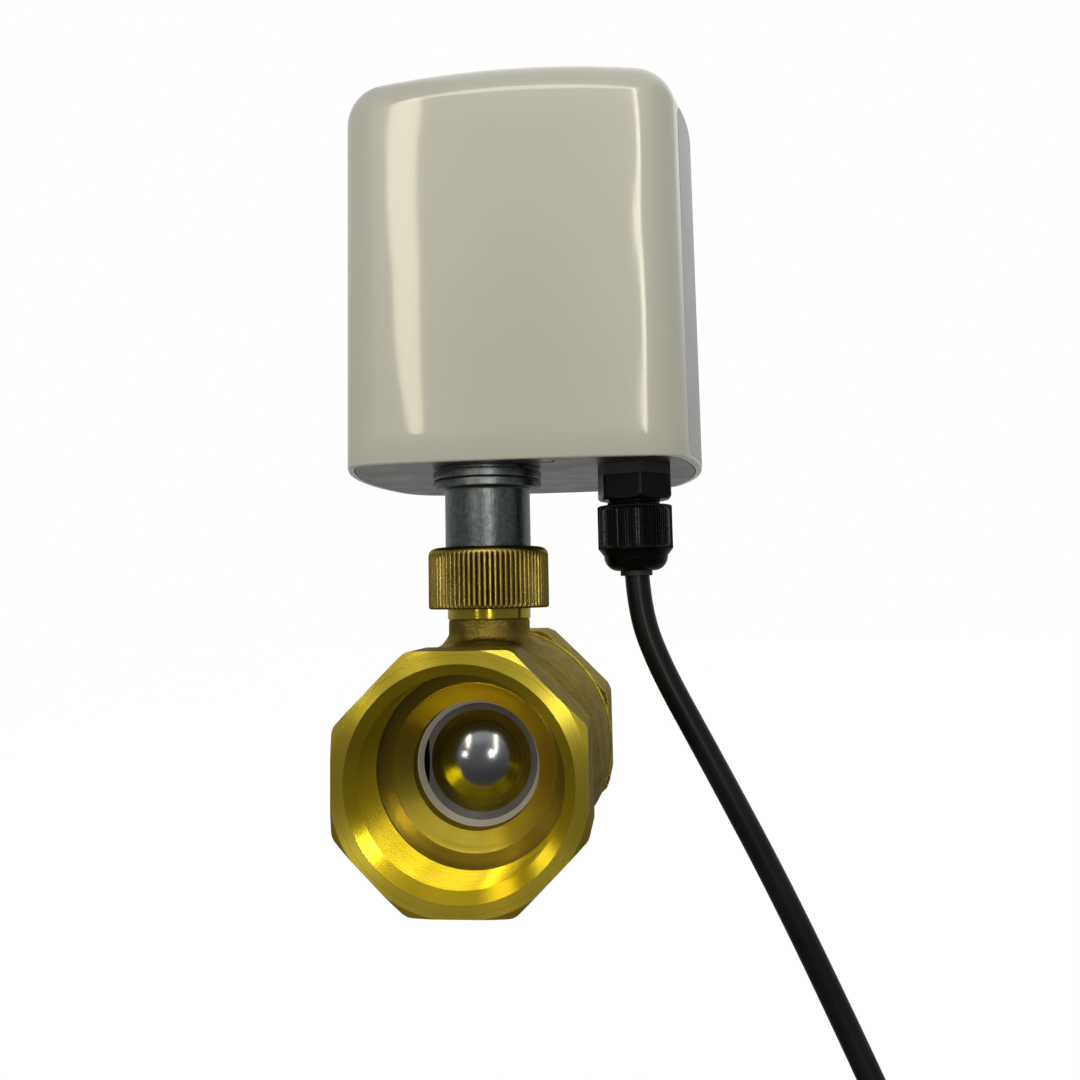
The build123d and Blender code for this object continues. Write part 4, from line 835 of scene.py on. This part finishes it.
def makeValveBody(s, p, f):
    thing = addObject("octagon", octagonMesh(p["acrossFlats"], -f["sinks"], p["length"]))
    profile = [(s["waist"] - s["waistInset"], s["waistStart"]), (s["waist"], s["waistEnd"])]
    for t in between(0.0, 1.0, s["bellySteps"], 1):
        swell = (s["belly"] - s["waist"]) * math.sin(t * math.pi / 2)
        profile.append((s["waist"] + swell, s["waistEnd"] + (s["bellyFull"] - s["waistEnd"]) * t))
    seamStart = s["split"] - s["seamWidth"]
    bead = s["belly"] + s["bead"]
    rise, top, fall = (seamStart - step for step in s["beadSteps"])
    profile += [(s["belly"], rise), (bead, top), (bead, fall), (s["bellyEnd"], seamStart)]
    profile += [(s["seam"], seamStart), (s["seam"], s["split"])]
    carve(thing, solidMesh(profile, 160, pipeAxis), "UNION")
    carve(thing, solidMesh(s["neck"], 96), "UNION")
    soften(thing, f)
    reach = p["chamferRadius"] + s["envelopeReach"]
    profile = [(p["chamferRadius"], 0.0), (reach, chamferDepth(p, reach)), (reach, s["split"])]
    keep = addObject("turning", solidMesh(profile, 180, pipeAxis))
    carve(keep, solidMesh(s["tower"], 64), "UNION")
    carve(thing, takeMesh(keep), "INTERSECT")
    carve(thing, ringMesh(boreRings(p, 0.0, 1), capEnds=True))
    carve(thing, solidMesh(s["cavity"], 128, pipeAxis))
    carve(thing, solidMesh(s["stemHole"], 64))

    def metalAt(radius, y):
        onWall = p["threadWall"] - s["flankIn"] < radius < p["mouth"] - s["flankOut"]
        if onWall and s["flankStart"] < y < p["threadEnd"]:
            return flankBrass
        metal = portMetal(p, radius, y)
        # The seam bead takes the brighter brass, a painted highlight.
        onSeam = seamStart - s["highlightStart"] < y < seamStart + s["highlightEnd"]
        if metal is forgedBrass and onSeam and s["seam"] < radius < s["belly"] + s["highlightReach"]:
            return seamHighlightBrass
        return metal

    mesh = cleanMesh(thing, f)
    metals = [forgedBrass, brightBrass, coneBrass, seamHighlightBrass, flankBrass]
    newPiece("valveBody", mesh, "valve", metals, ["valve_body"], sharp=28)
    layMetals(mesh, metals, metalAt)


makeValveBody(body, port, forging)


def makeTurned(name, s, material, nodeNames=()):
    # A piece turned about the stem.
    mesh = latheMesh(rounded(s["profile"], s["corners"]), 128)
    newPiece(name, mesh, "valve", [material], nodeNames)


# Collar and spigot on top of the forged neck.
spigot = {
    "profile": [(4.55, 28.95), (9.3, 28.95), (9.3, 32.3), (10.95, 32.3), (10.95, 40.0), (4.55, 40.0)],
    "corners": {1: 0.25, 3: 0.2, 4: 0.5},
}
makeTurned("turnedSpigot", spigot, stemBrass)


endCap = {
    "acrossFlats": 51.0, "cornerRadius": 27.2, "low": 58.0, "face": 82.0, "overlap": 0.5,
    "spigot": 20.3, "spigotLow": 52.6, "seatBack": 56.8, "seatPocket": 15.55,
}


def makeEndCap(s, p, f):
    # The far octagon, with the same turned port facing the other way.
    low, face, overlap = s["low"], s["face"], s["overlap"]
    thing = addObject("octagon", octagonMesh(s["acrossFlats"], low - f["sinks"], face + f["sinks"]))
    soften(thing, f)
    corner = s["cornerRadius"]
    profile = [(corner, low), (corner, face - chamferDepth(p, corner)), (p["chamferRadius"], face)]
    carve(thing, solidMesh(profile, 180, pipeAxis), "INTERSECT")
    profile = [(s["spigot"], s["spigotLow"]), (s["spigot"], low + overlap)]
    carve(thing, solidMesh(profile, 128, pipeAxis), "UNION")
    carve(thing, ringMesh(boreRings(p, face, -1), capEnds=True))
    profile = [(s["seatPocket"], s["spigotLow"] - 1), (s["seatPocket"], s["seatBack"])]
    profile += [(p["lip"], s["seatBack"]), (p["lip"], s["seatBack"] + overlap)]
    carve(thing, solidMesh(profile, 128, pipeAxis))
    mesh = cleanMesh(thing, f)
    metals = [forgedBrass, brightBrass, coneBrass]
    newPiece("forgedEndCap", mesh, "valve", metals, ["end_cap"], sharp=28)
    layMetals(mesh, metals, lambda radius, y: portMetal(p, radius, face - y))


makeEndCap(endCap, port, forging)
print("valve body and end cap made")


# Ball

ball = {
    "radius": 19.0, "bore": 11.25, "boreReach": 20.0, "turn": 110.0, "steps": 96,
    "slotFloor": 15.9, "slotWidth": 5.0, "slotLength": 40.0, "slotHeight": 10.0,
}


def makeBall(s):
    steps = s["steps"]
    angles = [-math.pi / 2 + math.pi * (step + 0.5) / (steps + 1) for step in range(steps + 1)]
    profile = [(s["radius"] * math.cos(angle), s["radius"] * math.sin(angle)) for angle in angles]
    ballAxis = ("Z", (0.0, 0.0, 0.0))
    thing = addObject("sphere", ringMesh(latheRings(profile, 192, ballAxis), capEnds=True))
    carve(thing, solidMesh([(s["bore"], -s["boreReach"]), (s["bore"], s["boreReach"])], 128, pipeAxis))
    work = bmesh.new()
    bmesh.ops.create_cube(work, size=1.0)
    for vertex in work.verts:
        x, y, z = vertex.co
        height = s["slotFloor"] + (z + 0.5) * s["slotHeight"]
        vertex.co = Vector((x * s["slotWidth"], y * s["slotLength"], height)) * mm
    carve(thing, finishMesh(work))
    mesh = takeMesh(thing)
    turn = Matrix.Rotation(math.radians(s["turn"]), 4, "Z")
    mesh.transform(Matrix.Translation(Vector(stemAxis[1]) * mm) @ turn)
    newPiece("boredBall", mesh, "drive", [mirrorChrome], ["ball"], sharp=30)


makeBall(ball)
print("ball made")


# Front seat, with a face that follows the ball

seat = {
    "lip": 24.2, "face": 25.2, "back": 29.6, "outer": 15.5, "skirt": 12.86, "mouth": 12.7, "inner": 11.9,
    "ballGap": 0.05, "steps": 10,
}


def makeFrontSeat(s, b):
    reach = b["radius"] + s["ballGap"]
    middle = stemAxis[1][1]
    outerRim = math.sqrt(reach ** 2 - (middle - s["back"]) ** 2)
    profile = [(s["outer"], s["back"]), (s["outer"], s["face"]), (s["skirt"], s["face"])]
    profile += [(s["skirt"], s["lip"]), (s["mouth"], s["lip"])]
    for radius in between(s["inner"], outerRim, s["steps"]):
        profile.append((radius, middle - math.sqrt(reach ** 2 - radius ** 2)))
    mesh = latheMesh(profile, 160, pipeAxis)
    newPiece("conedSeat", mesh, "valve", [shadedSeatWhite], ["seat_front"], sharp=30)


makeFrontSeat(seat, ball)


# Union nut

unionNut = {
    "radius": 13.55, "low": 31.3, "high": 44.9, "shoulder": 1.8, "bore": 11.05, "lipBore": 9.75, "lipLow": 42.6,
    "edgeBreak": 0.3, "foot": [(0.4, 0.0), (0.08, 0.25)], "wallStart": 0.5, "wallSteps": 24, "arcSteps": 8,
    "ribs": 72, "depth": 0.5, "crestShare": 0.85, "ribsOutside": 12.0,
    "ribsTop": (1.3, 0.7), "ribsLow": (0.1, 0.5),
}


def makeUnionNut(s):
    def ripple(radius, height, angle):
        if radius < s["ribsOutside"]:
            return radius
        wave = 0.5 + 0.5 * math.cos(angle * s["ribs"])
        rib = clamp(2 * wave) * s["crestShare"] + wave * (1 - s["crestShare"])
        (topGap, topFade), (lowGap, lowFade) = s["ribsTop"], s["ribsLow"]
        fade = clamp((s["high"] - topGap - height) / topFade) * clamp((height - s["low"] - lowGap) / lowFade)
        return radius - s["depth"] * (1 - rib) * fade

    outer, low, high = s["radius"], s["low"], s["high"]
    shoulder, edge = s["shoulder"], s["edgeBreak"]
    profile = [(s["bore"], low + edge), (s["bore"] + edge, low)]
    profile += [(outer - inset, low + rise) for inset, rise in s["foot"]]
    wallLow = low + s["wallStart"]
    wallTop = high - shoulder
    profile += [(outer, height) for height in between(wallLow, wallTop, s["wallSteps"])]
    for turn in between(0.0, math.pi / 2, s["arcSteps"], 1):
        profile.append((outer - shoulder * (1 - math.cos(turn)), wallTop + shoulder * math.sin(turn)))
    profile += [(s["lipBore"] + edge, high), (s["lipBore"], high - edge)]
    profile += [(s["lipBore"], s["lipLow"]), (s["bore"], s["lipLow"])]
    mesh = latheMesh(profile, s["ribs"] * 10, ripple=ripple)
    newPiece("ribbedUnionNut", mesh, "union", [nutBrass], ["union_nut"], sharp=60)


makeUnionNut(unionNut)


# Sleeve and base bush

sleeve = {
    "profile": [(6.6, 40.0), (9.65, 40.0), (9.65, 58.0), (12.3, 58.0), (12.3, 59.94), (8.05, 59.94),
                (8.05, 53.8), (6.6, 53.8)],
    "corners": {1: 0.3, 2: 0.5, 3: 0.3, 4: 0.3},
}
bush = {
    "profile": [(6.6, 53.9), (8.0, 53.9), (8.0, 60.06), (12.3, 60.06), (12.3, 62.1), (10.35, 62.1),
                (10.35, 62.7), (9.75, 62.7), (9.75, 69.3), (6.6, 69.3)],
    "corners": {3: 0.3, 4: 0.35},
}
makeTurned("zincSleeve", sleeve, castZinc, ["adapter_sleeve"])
makeTurned("zincBush", bush, castZinc, ["base_bush"])
print("union made")


# Cable gland

glandCap = {
    "radius": 8.35, "low": 39.0, "top": 53.4, "topBreak": (0.25, 0.5), "bore": 6.2, "socket": 2.0,
    "mouth": 4.0, "mouthBore": 3.76, "mouthBreak": 0.3, "dome": 7.1, "domeGap": 1.4, "domeSteps": 12,
    "foot": (0.15, 0.3), "wallSteps": 19,
    "ribLow": 43.7, "ribs": 84, "ribDepth": 0.3, "ribPeak": 1.4, "ribsOutside": 8.0, "ribsTop": (0.2, 0.4),
    "ribsLow": 0.5, "bandAngle": -63.0, "bandHalf": 5.0, "bandFade": 0.8, "bandDrop": 0.16, "field": 60.0,
}


def makeGlandCap(s):
    def ripple(radius, height, angle):
        # Fine ribs in six fields, with a plain band between neighbouring fields.
        if radius < s["ribsOutside"] or height < s["ribLow"]:
            return radius
        turn = (math.degrees(angle) - s["bandAngle"]) % s["field"]
        ribbed = clamp((min(turn, s["field"] - turn) - s["bandHalf"]) / s["bandFade"])
        wave = clamp(s["ribPeak"] * (1 - (0.5 + 0.5 * math.cos(angle * s["ribs"])) ** 2))
        topGap, topFade = s["ribsTop"]
        fade = clamp((height - s["ribLow"]) / s["ribsLow"]) * clamp((s["top"] - topGap - height) / topFade)
        return radius - (s["ribDepth"] * wave * ribbed + s["bandDrop"] * (1 - ribbed)) * fade

    low, wall, mouth = s["low"], s["ribLow"], s["mouth"]
    socketFloor = wall + s["socket"]
    domeRise = wall - s["domeGap"] - low
    profile = [(s["mouthBore"], socketFloor), (s["mouthBore"], low + s["mouthBreak"]), (mouth, low)]
    for turn in between(0.0, math.pi / 2, s["domeSteps"], 1):
        profile.append((mouth + (s["dome"] - mouth) * math.sin(turn), low + domeRise * (1 - math.cos(turn))))
    footInset, footRise = s["foot"]
    topInset, topRise = s["topBreak"]
    wallLow = wall + footRise
    wallTop = s["top"] - topRise + footRise
    profile.append((s["radius"] - footInset, wall))
    profile += [(s["radius"], height) for height in between(wallLow, wallTop, s["wallSteps"])]
    profile += [(s["radius"] - topInset, s["top"]), (s["bore"], s["top"]), (s["bore"], socketFloor)]
    mesh = latheMesh(profile, s["ribs"] * 8, glandAxis, ripple)
    newPiece("ribbedGlandCap", mesh, "gland_clamp", [ribbedMould], ["gland_cap"], sharp=45)


makeGlandCap(glandCap)


glandHex = {
    "flats": 15.2, "low": 54.7, "top": 60.15, "turn": -18.6, "cornerCut": 0.16, "inset": 0.1,
    "edgeRise": 0.75, "edgeCurve": 1.5, "edgeSteps": 6, "topBreak": 0.15, "bore": 4.4, "neck": 6.1,
}


def makeGlandHex(s):
    # The hexagon with blunt corners and its turned lower edge.
    half = s["flats"] / 2

    def hexed(radius, height, angle):
        fromFlat = (math.degrees(angle) - s["turn"]) % 60.0 - 30.0
        return min(half / math.cos(math.radians(fromFlat)), radius)

    start = half - s["inset"]
    edge = half / math.cos(math.pi / 6) - s["cornerCut"]
    profile = [(s["bore"], s["low"]), (s["neck"], s["low"]), (start, s["low"])]
    for t in between(0.0, 1.0, s["edgeSteps"]):
        profile.append((start + (edge - start) * t, s["low"] + s["edgeRise"] * t ** s["edgeCurve"]))
    profile += [(edge, s["top"] - s["topBreak"]), (edge - s["topBreak"], s["top"]), (s["bore"], s["top"])]
    mesh = latheMesh(profile, 360, glandAxis, hexed)
    newPiece("glandHexagon", mesh, "valve", [blackMould], sharp=25)


makeGlandHex(glandHex)


glandShank = {
    "radius": 6.1, "bore": 4.4, "low": 46.7, "top": 71.5,
    "plainLow": 54.7, "plainTop": 65.8, "plainInset": 0.02,
    "pitch": 1.5, "depth": 0.45, "crest": 0.15, "flank": 0.7, "stepsPerPitch": 10,
}


def makeGlandShank(s):
    # Threaded below and above the hexagon, plain between.
    def thread(radius, height, angle):
        if radius < s["radius"]:
            return radius
        if s["plainLow"] < height < s["plainTop"]:
            return radius - s["plainInset"]
        phase = (height / s["pitch"] - angle / (2 * math.pi)) % 1.0
        return radius - s["depth"] * clamp((abs(2 * phase - 1) - s["crest"]) / s["flank"])

    steps = int((s["top"] - s["low"]) / s["pitch"] * s["stepsPerPitch"])
    profile = [(s["radius"], height) for height in between(s["low"], s["top"], steps)]
    profile += [(s["bore"], s["top"]), (s["bore"], s["low"])]
    mesh = latheMesh(profile, 96, glandAxis, thread)
    newPiece("glandShank", mesh, "valve", [blackMould], ["gland_body"], sharp=40)


makeGlandShank(glandShank)
print("gland made")


# Floor, backdrop and light

light = {
    "floorHeight": -0.1525, "floorSize": 4.0, "floorTone": (0.8, 0.8, 0.8), "floorRoughness": 0.7,
    "floorGlow": 1.16, "shadowShare": 0.25,
    "diffuse": 0.62, "front": 0.33, "back": 0.62, "low": 0.3, "high": 1.1, "ceiling": 0.5,
    "depthFade": (-0.2, 0.8), "heightFade": (-0.5, 0.5), "ceilingFade": (0.2, 0.42),
    "leftFade": (-0.31, -0.22), "rightFade": (0.55, 0.72),
    "aim": (0.008, 0.03, 0.1), "reach": 1.2,
    "spared": ["driveCover", "blankSidePlate"],
    "lamps": [  # name, turn and rise seen from the aim, lean, size, power, tone, whether it spares the cover
        ("leftPanel", -23.5, 21.0, 5.0, (0.105, 0.68), 1.6, (1.0, 0.88, 0.68), False),
        ("topPanel", -4.0, 37.5, 0.0, (0.78, 0.2), 2.15, (1.0, 0.94, 0.8), False),
        ("rightPanel", 15.0, 18.0, -1.0, (0.055, 0.8), 1.4, (1.0, 0.91, 0.74), False),
        ("lowLeft", -26.0, -1.8, 0.0, (0.12, 0.1), 0.35, (1.0, 0.95, 0.84), True),
        ("lowFront", 9.0, -0.8, 0.0, (0.05, 0.12), 1.2, (1.0, 0.98, 0.94), True),
    ],
}


def rayKinds(tree):
    # What the camera sees, and what mirrors and clear pieces see.
    rays = addNode(tree, "LightPath", {}).outputs
    return rays["Is Camera Ray"], compute(tree, "MAXIMUM", rays["Is Glossy Ray"], rays["Is Transmission Ray"])


def makeStage(s):
    # The floor takes a soft shadow, glows white for the camera and is clear in reflections.
    look = {"Base Color": (*s["floorTone"], 1), "Roughness": s["floorRoughness"]}
    paleFloor, tree, shader = newMaterial("paleFloor", look)
    seen, mirrored = rayKinds(tree)
    clear = addNode(tree, "BsdfTransparent", {}).outputs[0]
    glow = addNode(tree, "Emission", {"Strength": s["floorGlow"]}).outputs[0]
    surface = shader.outputs[0]
    shade = addNode(tree, "MixShader", {0: s["shadowShare"], 1: glow, 2: surface}).outputs[0]
    for share, closure in ((mirrored, clear), (seen, shade)):
        surface = addNode(tree, "MixShader", {0: share, 1: surface, 2: closure}).outputs[0]
    tree.links.new(surface, tree.nodes["Material Output"].inputs["Surface"])
    mesh = bpy.data.meshes.new("floor")
    size = s["floorSize"]
    corners = [(x * size, y * size, s["floorHeight"]) for x, y in ((-1, -1), (1, -1), (1, 1), (-1, 1))]
    mesh.from_pydata(corners, [], [(0, 1, 2, 3)])
    mesh.materials.append(paleFloor)
    addObject("floor", mesh)


def makeWorld(s):
    # White for the camera, even light for matt surfaces; mirrors see a room that darkens
    # toward its front and its floor.
    world = bpy.data.worlds.new("softRoom")
    bpy.context.scene.world = world
    world.use_nodes = True
    tree = world.node_tree
    background = tree.nodes["Background"]
    place = addNode(tree, "TexCoord", {}).outputs["Generated"]
    split = addNode(tree, "SeparateXYZ", {0: place})

    def fade(axis, ends, low, high):
        return spread(tree, split.outputs[axis], low, high, *ends, blend="SMOOTHSTEP")

    depth = fade("Y", s["depthFade"], s["front"], s["back"])
    height = fade("Z", s["heightFade"], s["low"], s["high"])
    ceiling = fade("Z", s["ceilingFade"], 0.0, s["ceiling"])
    for ends, low, high in ((s["leftFade"], 0.0, 1.0), (s["rightFade"], 1.0, 0.0)):
        ceiling = compute(tree, "MULTIPLY", ceiling, fade("X", ends, low, high))
    room = compute(tree, "ADD", compute(tree, "MULTIPLY", depth, height), ceiling)
    seen, mirrored = rayKinds(tree)
    inner = addNode(tree, "Mix", {"Factor": mirrored, "A": s["diffuse"], "B": room}).outputs["Result"]
    outer = addNode(tree, "Mix", {"Factor": seen, "A": inner, "B": 1.0}).outputs["Result"]
    tree.links.new(outer, background.inputs["Strength"])
    background.inputs["Color"].default_value = (1, 1, 1, 1)


def makeLamps(s):
    # The low lamps spare the glossy cover.
    spared = bpy.data.collections.new("sparedFromLowLamps")
    for name in s["spared"]:
        spared.objects.link(bpy.data.objects[name])
    for member in spared.collection_objects:
        member.light_linking.link_state = "EXCLUDE"
    for name, turn, rise, lean, size, power, tone, sparing in s["lamps"]:
        turn, rise, lean = (math.radians(angle) for angle in (turn, rise, lean))
        level = Vector((math.sin(turn), -math.cos(turn), 0.0)) * math.cos(rise)
        direction = level + Vector((0.0, 0.0, math.sin(rise)))
        data = bpy.data.lights.new(name, "AREA")
        data.shape = "ELLIPSE"
        data.size, data.size_y = size
        data.energy = power
        data.color = tone
        thing = addObject(name, data)
        thing.location = Vector(s["aim"]) + direction * s["reach"]
        if sparing:
            thing.light_linking.receiver_collection = spared
        facing = direction.to_track_quat("Z", "Y").to_matrix()
        thing.rotation_euler = (facing @ Matrix.Rotation(lean, 3, "Z")).to_euler()


makeStage(light)
makeWorld(light)
makeLamps(light)
bpy.context.scene.view_settings.view_transform = "Standard"
print("stage lit")
